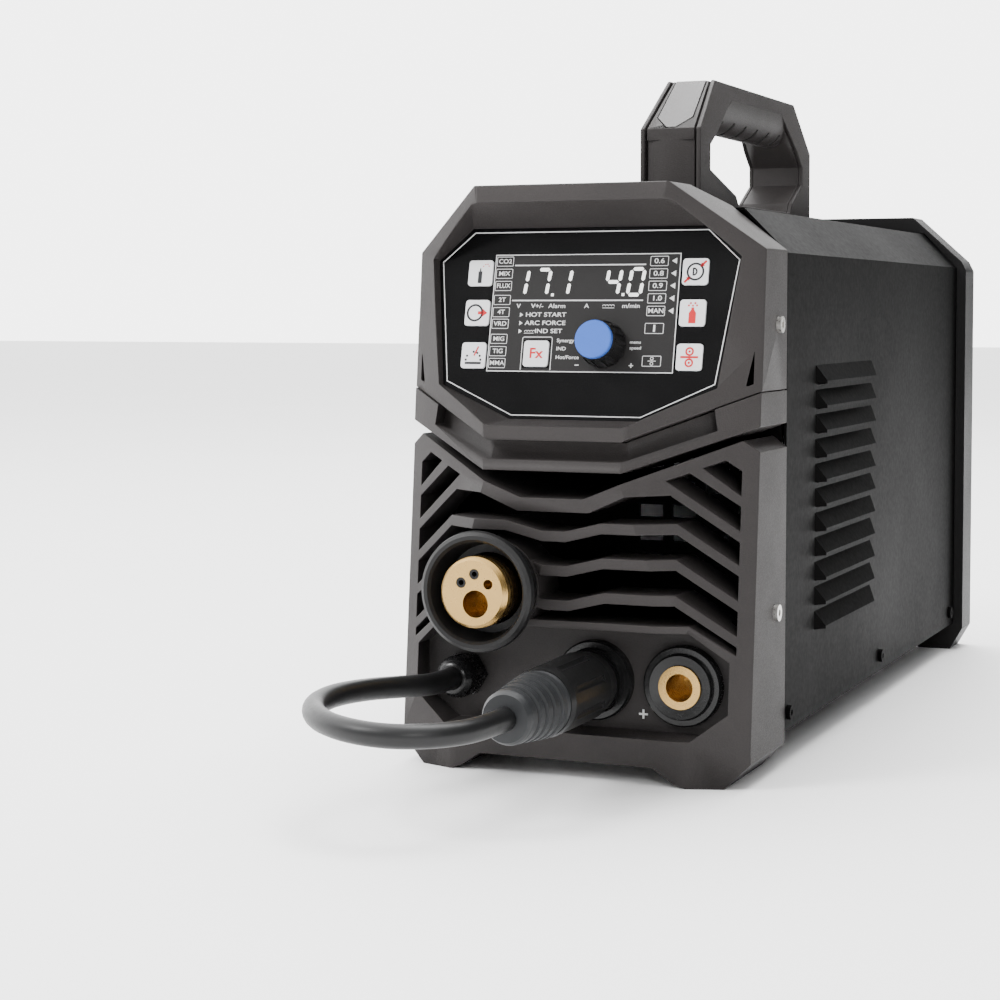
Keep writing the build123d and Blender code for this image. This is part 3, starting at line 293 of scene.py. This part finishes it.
def paintedFinish(name, colour, rough, peel, depth):
    finish = Finish(name)
    waves = finish.noise(peel, 2.5, 0.55)
    dust = finish.noise(2600, 1.0)
    patches = finish.noise(7, 3.0)
    base = finish.mix(finish.band(patches, 0.3, 0.7), shade(colour, 0.88), shade(colour, 1.14))
    roughness = finish.band(waves * 0.5 + patches * 0.5, 0.35, 0.65, rough[0], rough[1])
    normal = finish.bump(waves + dust * 0.25, depth, 0.6)
    return finish.surface(
        Base_Color=base, Roughness=roughness, Normal=normal, IOR=1.2, Specular_IOR_Level=0.1
    )


# metals: colour, brushing and how far it runs along one axis
metals = {
    "nickel_steel": dict(
        colour=(0.60, 0.585, 0.56), rough=(0.22, 0.36),
        brush=(1, 1, 1), scale=900, depth=0.00002,
    ),
    "brass": dict(colour=(0.44, 0.28, 0.10), rough=(0.22, 0.34), brush=(1, 14, 1), scale=260, depth=0.00003),
    "valve_body": dict(
        colour=(0.62, 0.45, 0.22), rough=(0.26, 0.40),
        brush=(1, 1, 6), scale=400, depth=0.00003,
    ),
    "zinc_steel": dict(
        colour=(0.56, 0.57, 0.58), rough=(0.28, 0.46),
        brush=(1, 1, 12), scale=130, depth=0.00002,
    ),
    "aluminium": dict(
        colour=(0.72, 0.72, 0.73), rough=(0.26, 0.42),
        brush=(14, 1, 14), scale=120, depth=0.00002,
    ),
}


def metalFinish(name, colour, rough, brush, scale, depth):
    finish = Finish(name)
    lines = finish.noise(scale, 3.0, 0.65, finish.stretched(brush))
    patches = finish.noise(30, 3.0)
    tone = finish.band(patches * 0.6 + lines * 0.4, 0.3, 0.7)
    base = finish.mix(tone, shade(colour, 0.86), shade(colour, 1.08))
    roughness = finish.band(lines * 0.6 + patches * 0.4, 0.3, 0.7, rough[0], rough[1])
    normal = finish.bump(lines, depth, 0.5)
    return finish.surface(Base_Color=base, Metallic=1.0, Roughness=roughness, Normal=normal)


# rubbers: dull skin with a soft sheen and faint flow marks
rubbers = {
    "cable_rubber": dict(colour=(0.0065, 0.0065, 0.0068), rough=(0.34, 0.46), scale=600, depth=0.00004),
    "black_rubber": dict(colour=(0.009, 0.009, 0.0093), rough=(0.30, 0.42), scale=700, depth=0.00004),
    "grey_rubber": dict(colour=(0.017, 0.018, 0.0195), rough=(0.44, 0.58), scale=800, depth=0.00006),
    "gas_rubber": dict(colour=(0.018, 0.018, 0.018), rough=(0.42, 0.55), scale=700, depth=0.00006),
}


def rubberFinish(name, colour, rough, scale, depth):
    finish = Finish(name)
    skin = finish.noise(scale, 3.0, 0.6)
    patches = finish.noise(25, 3.0)
    base = finish.mix(finish.band(patches, 0.3, 0.7), shade(colour, 0.85), shade(colour, 1.18))
    roughness = finish.band(skin * 0.5 + patches * 0.5, 0.35, 0.65, rough[0], rough[1])
    normal = finish.bump(skin, depth, 0.6)
    return finish.surface(Base_Color=base, Roughness=roughness, Normal=normal, Specular_IOR_Level=0.3)


def filmFinish():
    finish = Finish("displayFilm")
    smear = finish.noise(22, 3.0)
    base = finish.mix(finish.band(smear, 0.35, 0.65), (0.0018, 0.0018, 0.0020), (0.0030, 0.0030, 0.0032))
    roughness = finish.band(smear, 0.3, 0.7, 0.16, 0.24)
    normal = finish.bump(finish.noise(300, 2.0), 0.00001, 0.4)
    return finish.surface(Base_Color=base, Roughness=roughness, Normal=normal, Specular_IOR_Level=0.16)


def boardFinish():
    finish = Finish("circuitBoard")
    cells = {"Vector": finish.place(), "Scale": 260}
    tracks = finish.node("ShaderNodeTexVoronoi", {"feature": "DISTANCE_TO_EDGE"}, cells)
    mask = finish.band(tracks, 0.04, 0.09)
    base = finish.mix(mask, (0.030, 0.150, 0.060), (0.010, 0.070, 0.028))
    roughness = finish.band(finish.noise(200), 0.3, 0.7, 0.30, 0.45)
    normal = finish.bump(mask, 0.00004, 0.5)
    return finish.surface(Base_Color=base, Roughness=roughness, Normal=normal)


def inkFinish(name, colour, glow=0.0):
    finish = Finish(name)
    speck = finish.band(finish.noise(1800, 2.0), 0.3, 0.7)
    base = finish.mix(speck, shade(colour, 0.90), colour)
    roughness = finish.band(speck, 0.0, 1.0, 0.32, 0.42)
    if glow:
        lit = dict(Emission_Color=base, Emission_Strength=glow)
        return finish.surface(Base_Color=base, Roughness=roughness, **lit)
    return finish.surface(Base_Color=base, Roughness=roughness, Specular_IOR_Level=0.2)


def makeFinishes():
    made = {}
    for name, settings in moulded.items():
        made[name] = mouldedFinish(name, **settings)
    for name, settings in painted.items():
        made[name] = paintedFinish(name, **settings)
    for name, settings in metals.items():
        made[name] = metalFinish(name, **settings)
    for name, settings in rubbers.items():
        made[name] = rubberFinish(name, **settings)
    made["display_film"] = filmFinish()
    made["circuit_board"] = boardFinish()
    made["window"] = inkFinish("displayWindow", (0.0155, 0.0147, 0.0147))
    made["white"] = inkFinish("whitePrint", (0.62, 0.62, 0.62))
    made["digit"] = inkFinish("litSegments", (0.95, 0.95, 0.93), 0.35)
    made["dark"] = inkFinish("darkPrint", (0.020, 0.020, 0.022))
    made["red"] = inkFinish("redPrint", (0.50, 0.020, 0.025))
    return made


finishes = makeFinishes()
slotOf = {row["node"]: row["material_slot"] for row in frame["record"]["subparts"]}
for name, piece in nodes.items():
    piece.data.materials.clear()
    piece.data.materials.append(finishes[slotOf[name]])
leadPiece.data.materials.append(finishes["cable_rubber"])
print("finishes made")


def linked(name, mesh, body="chassis"):
    piece = bpy.data.objects.new(name, mesh)
    bpy.context.scene.collection.objects.link(piece)
    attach(piece, body)
    return piece


# mouldings shown with softened edges: width and shortest edge in mm, and for the bezel a zone
# that stays sharp, as a least distance from the middle and two heights
softEdges = {
    "front_bezel": dict(width=0.7, shortest=3.0, sharpZone=(66, 176, 212)),
    "front_strip": dict(width=0.35, shortest=2.0),
    "front_grille": dict(width=0.35, shortest=2.6),
    "handle_shells": dict(width=0.8, shortest=2.5),
    "handle_core": dict(width=0.4, shortest=4.0),
    "handle_cap": dict(width=0.4, shortest=2.0),
    "rear_panel": dict(width=0.7, shortest=3.0),
}


rounding = {
    "weld": 2e-6,
    "flatWithin": math.radians(0.8),
    "edgeFrom": math.radians(24),
    "openCorner": math.radians(28),
    "smoothBelow": math.radians(30),
    "faceRoom": 2.2,
    "besideRoom": 1.6,
    "steps": 2,
}


# an edge is rounded only where its faces are wide, its neighbours long and its corners open
def roomy(edge, width):
    for face in edge.link_faces:
        if face.calc_area() / max(side.calc_length() for side in face.edges) < rounding["faceRoom"] * width:
            return False
        for loop in face.loops:
            if loop.vert in edge.verts and loop.calc_angle() < rounding["openCorner"]:
                return False
    beside = [other for vert in edge.verts for other in vert.link_edges if other is not edge]
    return all(other.calc_length() > rounding["besideRoom"] * width for other in beside)


def softened(name, width, shortest, sharpZone=(1000, 0, 0)):
    shape = bmesh.new()
    shape.from_mesh(nodes[name].data)
    bmesh.ops.remove_doubles(shape, verts=shape.verts, dist=rounding["weld"])
    bmesh.ops.dissolve_limit(shape, angle_limit=rounding["flatWithin"], verts=shape.verts, edges=shape.edges)
    chosen = []
    for edge in shape.edges:
        if len(edge.link_faces) == 2 and edge.calc_face_angle() > rounding["edgeFrom"]:
            middle = (edge.verts[0].co + edge.verts[1].co) / 2 / mm
            sharp = abs(middle.x) > sharpZone[0] and sharpZone[1] < middle.z < sharpZone[2]
            if edge.calc_length() > shortest * mm and roomy(edge, width * mm) and not sharp:
                chosen.append(edge)
    bmesh.ops.bevel(
        shape,
        geom=chosen,
        offset=width * mm,
        offset_type="OFFSET",
        segments=rounding["steps"],
        profile=0.5,
        affect="EDGES",
        clamp_overlap=False,
    )
    bmesh.ops.triangulate(shape, faces=[face for face in shape.faces if len(face.verts) > 4])
    bmesh.ops.recalc_face_normals(shape, faces=shape.faces)
    mesh = bpy.data.meshes.new(name + "Soft")
    shape.to_mesh(mesh)
    shape.free()
    mesh.materials.append(finishes[slotOf[name]])
    mesh.shade_smooth()
    mesh.set_sharp_from_angle(angle=rounding["smoothBelow"])
    piece = linked(name + "Soft", mesh, bodyOf[name])
    even = piece.modifiers.new("evenFaces", "WEIGHTED_NORMAL")
    even.keep_sharp = True
    even.weight = 100
    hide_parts(name)


for name, settings in softEdges.items():
    softened(name, **settings)
print("mouldings softened")


# how far prints stand off the surface below, in mm
windowLift = 0.02
inkLift = 0.05
litLift = 0.07
keyLift = 0.86


# flat prints on the display, in the display's own millimetres
class PrintSheet:
    def __init__(self, inks):
        self.inks = inks
        self.shape = bmesh.new()

    def fill(self, points, ink, lift=inkLift):
        verts = [self.shape.verts.new(onDisplay(x, v, lift)) for x, v in points]
        face = self.shape.faces.new(verts)
        face.material_index = self.inks.index(ink)

    def rect(self, x0, x1, v0, v1, ink, lift=inkLift):
        self.fill([(x0, v0), (x1, v0), (x1, v1), (x0, v1)], ink, lift)

    def stroke(self, points, width, ink, closed=False, lift=inkLift):
        count = len(points)
        sides = []
        for k in range(count):
            before = points[k - 1] if closed or k > 0 else None
            after = points[(k + 1) % count] if closed or k < count - 1 else None
            here = Vector(points[k])
            first = (here - Vector(before)).normalized() if before else None
            second = (Vector(after) - here).normalized() if after else None
            first = first or second
            second = second or first
            middle = (first + second).normalized()
            side = Vector((-middle.y, middle.x)) * (width / 2 / max(0.35, middle.dot(first)))
            sides.append((here + side, here - side))
        for k in range(count if closed else count - 1):
            a, b = sides[k], sides[(k + 1) % count]
            self.fill([a[1], b[1], b[0], a[0]], ink, lift)

    def frameBox(self, x0, x1, v0, v1, width, ink, lift=inkLift, corner=0.0):
        c = corner
        points = [(x0 + c, v0), (x1 - c, v0), (x1, v0 + c), (x1, v1 - c)]
        points += [(x1 - c, v1), (x0 + c, v1), (x0, v1 - c), (x0, v0 + c)]
        if not c:
            points = [(x0, v0), (x1, v0), (x1, v1), (x0, v1)]
        self.stroke(points, width, ink, True, lift)

    def disc(self, x, v, r, ink, lift=inkLift, sides=24):
        angles = [2 * math.pi * k / sides for k in range(sides)]
        self.fill([(x + r * math.cos(a), v + r * math.sin(a)) for a in angles], ink, lift)

    def ring(self, x, v, r, width, ink, lift=inkLift, start=0.0, turn=360.0):
        steps = max(8, int(28 * turn / 360))
        full = turn >= 359.9
        points = []
        for k in range(steps if full else steps + 1):
            a = math.radians(start + turn * k / steps)
            points.append((x + r * math.cos(a), v + r * math.sin(a)))
        self.stroke(points, width, ink, full, lift)

    def words(self, text, x, v, size, ink, wide=1.25, bold=0.012, align="CENTER", lift=inkLift):
        curve = bpy.data.curves.new("words", "FONT")
        curve.body = text
        curve.size = size
        curve.align_x = align
        curve.align_y = "CENTER"
        curve.offset = bold * size
        holder = bpy.data.objects.new("words", curve)
        bpy.context.scene.collection.objects.link(holder)
        flat = bpy.data.meshes.new_from_object(holder)
        index = self.inks.index(ink)
        verts = [self.shape.verts.new(onDisplay(x + p.co.x * wide, v + p.co.y, lift)) for p in flat.vertices]
        for polygon in flat.polygons:
            # a letter's doubled face is left out
            try:
                face = self.shape.faces.new([verts[i] for i in polygon.vertices])
            except ValueError:
                continue
            face.material_index = index
        bpy.data.objects.remove(holder)
        bpy.data.curves.remove(curve)
        bpy.data.meshes.remove(flat)

    def finish(self, name, body="chassis", slot="display_film"):
        bmesh.ops.remove_doubles(self.shape, verts=self.shape.verts, dist=1e-7)
        mesh = bpy.data.meshes.new(name)
        self.shape.to_mesh(mesh)
        self.shape.free()
        for ink in self.inks:
            mesh.materials.append(finishes[ink])
        return linked(name, mesh, body)


displayPlane = {"y": -44.1, "z": 215.0, "lean": 0.221}
planeTilt = math.hypot(1.0, displayPlane["lean"])
planeUp = Vector((0, displayPlane["lean"] / planeTilt, 1 / planeTilt))
planeOut = Vector((0, -1 / planeTilt, displayPlane["lean"] / planeTilt))


def onDisplay(x, v, lift=0.0):
    return spot(x, displayPlane["y"], displayPlane["z"]) + (planeUp * v + planeOut * lift) * mm


# what the panel shows: mode boxes on the left, wire sizes on the right
panel = {
    "window": (-47.9, 47.3, -22.7, 35.0),
    "outline": [(60.2, 46.4), (76.3, 31.7), (68.5, -27.9), (33.1, -44.2)],
    "modes": [
        ("CO2", 31.8), ("MIX", 25.7), ("FLUX", 19.6),
        ("2T", 12.6), ("4T", 6.5), ("VRD", 0.7),
        ("MIG", -6.8), ("TIG", -12.9), ("MMA", -18.8),
    ],
    "sizes": [("0.6", 31.4), ("0.8", 25.3), ("0.9", 19.3), ("1.0", 13.2), ("MAN", 7.1)],
    "units": [("V", -33.9), ("V+/-", -24.1), ("Alarm", -13.8), ("A", 1.5), ("m/min", 24.1)],
    "lines": [("HOT START", 5.2), ("ARC FORCE", 1.1), ("IND SET", -2.9)],
    "menu": [("Synergy", -12.5, -7.5), ("IND", -12.5, -11.5), ("Hot/Force", -12.5, -15.7)],
    "menuRight": [("menu", 24.9, -8.1), ("speed", 25.0, -10.9)],
    "bracket": [(-30.3, -22.0), (-30.3, -6.4), (-29.6, -5.8), (-15.5, -5.8), (-14.8, -6.4), (-14.8, -22.0)],
    "reading": [("1", -30.6), ("7", -19.2), ("1", -8.2), ("4", 17.4), ("0", 29.0)],
    "points": (-16.7, 19.6),
    "keyRoom": 7.0,
    "shaftRoom": 4.5,
    "function": (-22.5, -14.1),
    "knob": (12.0, -9.7),
}


def segment(sheet, x0, v0, x1, v1, width, ink):
    a, b = Vector((x0, v0)), Vector((x1, v1))
    along = (b - a).normalized()
    side = Vector((-along.y, along.x)) * width / 2
    tip = along * width * 0.42
    sheet.fill([a, a + tip - side, b - tip - side, b, b - tip + side, a + tip + side], ink, litLift)


digits = {"wide": 6.4, "half": 6.3, "middle": 21.3, "slant": 0.13, "stroke": 1.75, "gap": 0.45}
segmentsOf = {
    "0": "abcdef",
    "1": "bc",
    "4": "fgbc",
    "7": "abc",
}


def digit(sheet, symbol, right):
    wide, half, gap = digits["wide"], digits["half"], digits["gap"]

    def at(x, v):
        return right + x + v * digits["slant"], digits["middle"] + v

    ends = {
        "a": (at(-wide + gap, half), at(-gap, half)),
        "b": (at(0, half - gap), at(0, gap)),
        "c": (at(0, -gap), at(0, -half + gap)),
        "d": (at(-wide + gap, -half), at(-gap, -half)),
        "e": (at(-wide, -gap), at(-wide, -half + gap)),
        "f": (at(-wide, half - gap), at(-wide, gap)),
        "g": (at(-wide + gap, 0), at(-gap, 0)),
    }
    for letter in segmentsOf[symbol]:
        start, end = ends[letter]
        segment(sheet, *start, *end, digits["stroke"], "digit")


def printDisplay():
    sheet = PrintSheet(["window", "white", "digit", "display_film"])
    x0, x1, v0, v1 = panel["window"]
    key, shaft = panel["keyRoom"], panel["shaftRoom"]
    fx, knobAt = panel["function"], panel["knob"]
    # the window is laid in pieces around the function key and the knob's shaft
    for rect in (
        (x0, x1, fx[1] + key, v1),
        (x0, fx[0] - key, v0, fx[1] + key),
        (fx[0] + key, knobAt[0] - shaft, v0, fx[1] + key),
        (knobAt[0] + shaft, x1, v0, fx[1] + key),
        (fx[0] - key, fx[0] + key, v0, fx[1] - key),
        (knobAt[0] - shaft, knobAt[0] + shaft, v0, knobAt[1] - shaft),
    ):
        sheet.rect(*rect, "window", windowLift)
    sheet.frameBox(x0, x1, v0, v1, 0.42, "white")
    sheet.stroke(panel["outline"] + [(-x, v) for x, v in reversed(panel["outline"])], 0.5, "white", True)
    sheet.stroke([(-37.6, 29.8), (30.1, 29.8)], 0.6, "white")
    sheet.stroke([(-37.6, 12.3), (29.9, 12.3)], 0.6, "white")
    for text, v in panel["modes"]:
        sheet.frameBox(-47.2, -38.6, v - 2.3, v + 2.3, 0.28, "white", corner=0.3)
        sheet.words(text, -42.9, v, 3.1, "white", 1.12 if len(text) < 4 else 0.98)
    for text, v in panel["sizes"]:
        sheet.frameBox(32.3, 41.2, v - 2.3, v + 2.3, 0.28, "white", corner=0.3)
        sheet.words(text, 36.8, v, 3.3, "white", 1.3 if len(text) < 4 and "." in text else 1.1)
        sheet.fill([(43.0, v + 0.1), (45.5, v + 1.5), (45.5, v - 1.4)], "white")
    for text, x in panel["units"]:
        sheet.words(text, x, 9.5, 3.0, "white", 1.2)
    for k in range(4):
        sheet.ring(10.4 + 1.5 * k, 9.4, 0.75, 0.25, "white", start=0, turn=180)
    sheet.stroke([(9.6, 8.6), (15.7, 8.6)], 0.25, "white")
    for text, v in panel["lines"]:
        sheet.fill([(-32.8, v + 1.1), (-31.1, v), (-32.8, v - 1.1)], "white")
        sheet.words(text, -29.9 if "IND" not in text else -24.4, v, 3.0, "white", 1.32, align="LEFT")
    for k in range(4):
        sheet.ring(-29.0 + 1.4 * k, -3.2, 0.7, 0.25, "white", start=0, turn=180)
    sheet.stroke([(-29.9, -3.9), (-24.9, -3.9)], 0.25, "white")
    sheet.stroke(panel["bracket"], 0.32, "white")
    for text, x, v in panel["menu"]:
        sheet.words(text, x, v, 2.5, "white", 1.15, align="LEFT")
    for text, x, v in panel["menuRight"]:
        sheet.words(text, x, v, 2.1, "white", 1.2, align="LEFT")
    sheet.stroke([(-2.2, -19.4), (-0.2, -19.4)], 0.5, "white")
    sheet.stroke([(25.3, -19.4), (27.5, -19.4)], 0.5, "white")
    sheet.stroke([(26.4, -20.5), (26.4, -18.3)], 0.5, "white")
    sheet.frameBox(32.0, 41.2, -3.8, 1.1, 0.28, "white", corner=0.3)
    sheet.rect(36.1, 37.1, -3.0, 0.4, "white")
    sheet.frameBox(31.9, 41.1, -19.6, -14.7, 0.28, "white", corner=0.3)
    for v in (-15.9, -18.4):
        sheet.ring(36.6, v, 0.7, 0.3, "white")
    sheet.stroke([(34.6, -17.1), (38.6, -17.1)], 0.3, "white")
    for symbol, right in panel["reading"]:
        digit(sheet, symbol, right)
    for x in panel["points"]:
        sheet.rect(x - 0.7, x + 0.7, 14.4, 15.8, "digit", litLift)
    sheet.finish("displayPrint")


printDisplay()


# one picture for each key, drawn around its own middle
keys = {
    "key_left_top": (-55.3, 25.9),
    "key_left_middle": (-55.3, 6.0),
    "key_left_bottom": (-55.3, -15.2),
    "key_right_top": (55.3, 25.9),
    "key_right_middle": (55.3, 6.0),
    "key_right_bottom": (55.3, -15.2),
    "key_function": panel["function"],
}


def drawTorch(sheet, x, v):
    sheet.rect(x - 1.2, x + 0.9, v - 5.0, v + 0.9, "dark", keyLift)
    neck = [(-0.6, 0.9), (0.3, 0.9), (0.1, 2.6), (-0.4, 2.6)]
    sheet.fill([(x + dx, v + dv) for dx, dv in neck], "dark", keyLift)
    for dx, dv in ((1.3, 3.4), (2.4, 4.3), (3.5, 4.4), (4.2, 3.5)):
        sheet.disc(x + dx, v + dv, 0.33, "red", keyLift, 8)


def drawTrigger(sheet, x, v):
    sheet.ring(x - 1.2, v, 3.9, 1.0, "dark", keyLift)
    sheet.rect(x + 0.4, x + 3.0, v - 0.8, v + 0.8, "red", keyLift)
    sheet.fill([(x + 2.8, v - 2.0), (x + 5.4, v), (x + 2.8, v + 2.0)], "red", keyLift)


def drawGauge(sheet, x, v):
    sheet.rect(x - 4.3, x + 4.3, v - 4.4, v - 3.3, "dark", keyLift)
    for k in range(7):
        a = math.radians(180 - 30 * k)
        if k != 2:
            sheet.disc(x + 3.9 * math.cos(a), v - 2.2 + 3.9 * math.sin(a), 0.62, "dark", keyLift, 8)
    sheet.stroke([(x + 0.3, v - 0.2), (x + 2.4, v + 4.4)], 0.8, "red", False, keyLift)


def drawDiameter(sheet, x, v):
    sheet.ring(x, v, 3.9, 0.95, "dark", keyLift)
    sheet.stroke([(x - 1.0, v - 1.9), (x - 1.0, v + 1.9)], 0.8, "dark", False, keyLift)
    sheet.ring(x - 0.9, v, 1.6, 0.8, "dark", keyLift, start=-90, turn=180)
    tip = [(2.2, 2.2), (4.5, 2.8), (2.8, 4.5)]
    for s in (-1, 1):
        sheet.stroke([(x + s * 3.0, v + s * 3.0), (x + s * 5.2, v + s * 5.2)], 1.1, "red", False, keyLift)
        sheet.fill([(x + s * dx, v + s * dv) for dx, dv in tip], "red", keyLift)


def drawBottle(sheet, x, v):
    body = [(-1.8, -5.0), (1.8, -5.0), (1.8, 0.0), (0.7, 1.6)]
    body += [(0.7, 2.6), (-0.7, 2.6), (-0.7, 1.6), (-1.8, 0.0)]
    sheet.fill([(x + dx, v + dv) for dx, dv in body], "red", keyLift)
    for dx, dv in ((-2.0, 3.6), (0, 3.5), (2.0, 3.6), (-1.1, 4.7), (1.1, 4.7)):
        sheet.disc(x + dx, v + dv, 0.5, "red", keyLift, 8)


def drawRollers(sheet, x, v):
    sheet.rect(x - 4.4, x + 4.4, v - 0.5, v + 0.5, "red", keyLift)
    for s in (-1, 1):
        sheet.ring(x, v + s * 2.7, 1.7, 0.9, "red", keyLift)
        sheet.disc(x, v + s * 2.7, 0.6, "red", keyLift, 12)


def drawFunction(sheet, x, v):
    sheet.words("Fx", x, v, 7.0, "red", 1.05, 0.02, lift=keyLift)


# raised polarity mark on the recess wall, beside the right-hand socket
plusMark = {"x": 33.2, "y": -48.0, "z": 30.2, "arm": 2.2, "half": 0.45, "rise": 0.25, "sunk": 0.2}


def markPlus():
    a, b, sunk = plusMark["arm"], plusMark["half"], plusMark["sunk"]
    outline = [(b, a), (b, b), (a, b), (a, -b), (b, -b), (b, -a)]
    outline += [(-x, -z) for x, z in outline]
    shape = bmesh.new()
    x0, y0, z0 = plusMark["x"], plusMark["y"] + sunk, plusMark["z"]
    ring = [shape.verts.new(spot(x0 + x, y0, z0 + z)) for x, z in outline]
    face = shape.faces.new(ring)
    pushed = bmesh.ops.extrude_face_region(shape, geom=[face])["geom"]
    moved = [item for item in pushed if isinstance(item, bmesh.types.BMVert)]
    bmesh.ops.translate(shape, verts=moved, vec=(0, -(plusMark["rise"] + sunk) * mm, 0))
    bmesh.ops.recalc_face_normals(shape, faces=shape.faces)
    mesh = bpy.data.meshes.new("plusMark")
    shape.to_mesh(mesh)
    shape.free()
    mesh.materials.append(finishes["white"])
    linked("plusMark", mesh)


markPlus()

drawings = {
    "key_left_top": drawTorch,
    "key_left_middle": drawTrigger,
    "key_left_bottom": drawGauge,
    "key_right_top": drawDiameter,
    "key_right_middle": drawBottle,
    "key_right_bottom": drawRollers,
    "key_function": drawFunction,
}
for name, place in keys.items():
    sheet = PrintSheet(["dark", "red"])
    drawings[name](sheet, *place)
    sheet.finish(name + "Picture", bodyOf[name], "key_white")
print("display printed")


# floor and soft light
studio = {
    "half": 12.0,
    "aim": (0, -0.05, 0.15),
    "floor": (0.95, 0.95, 0.95),
    "sky": (1.0, 1.0, 1.0),
    "front": (0.20, 0.20, 0.20),
    "side": (0.015, 0.015, 0.015),
    "skyPower": 5.0,
    "lamps": [
        dict(place=(-1.5, -1.6, 1.9), size=1.0, power=60),
        dict(place=(1.0, -2.0, 1.0), size=0.6, power=14),
        dict(place=(0.1, 0.9, 2.6), size=2.0, power=90),
    ],
}


def floorFinish():
    finish = Finish("studioFloor")
    tone = finish.band(finish.noise(3, 2.0), 0.3, 0.7)
    base = finish.mix(tone, shade(studio["floor"], 0.985), studio["floor"])
    return finish.surface(Base_Color=base, Roughness=0.7, Specular_IOR_Level=0.2)


# the room is bright behind the machine, dimmer in front and dark to the right
def lightSky(tree):
    sky = Finish.__new__(Finish)
    sky.tree = tree
    background = tree.nodes["Background"]
    way = sky.node("ShaderNodeTexCoord")
    forward = sky.axis("Y", way)
    across = sky.axis("X", way)
    colour = sky.mix(sky.band(forward, -0.7, 0.1), studio["front"], studio["sky"])
    colour = sky.mix(sky.band(across * 0.9 + forward * 0.4, 0.30, 0.55), colour, studio["side"])
    tree.links.new(colour.socket, background.inputs[0])
    background.inputs[1].default_value = studio["skyPower"]


def setStudio():
    half = studio["half"]
    mesh = bpy.data.meshes.new("studioFloor")
    corners = [(-half, -half, 0), (half, -half, 0), (half, half, 0), (-half, half, 0)]
    mesh.from_pydata(corners, [], [(0, 1, 2, 3)])
    mesh.materials.append(floorFinish())
    floor = bpy.data.objects.new("studioFloor", mesh)
    bpy.context.scene.collection.objects.link(floor)
    world = bpy.data.worlds.new("studio")
    world.use_nodes = True
    lightSky(world.node_tree)
    bpy.context.scene.world = world
    aim = Vector(studio["aim"])
    for k, lamp in enumerate(studio["lamps"]):
        data = bpy.data.lights.new("softLamp" + str(k), "AREA")
        data.shape = "DISK"
        data.size = lamp["size"]
        data.energy = lamp["power"]
        made = bpy.data.objects.new("softLamp" + str(k), data)
        made.location = lamp["place"]
        made.rotation_euler = (aim - Vector(lamp["place"])).to_track_quat("-Z", "Y").to_euler()
        bpy.context.scene.collection.objects.link(made)


setStudio()
print("studio set")
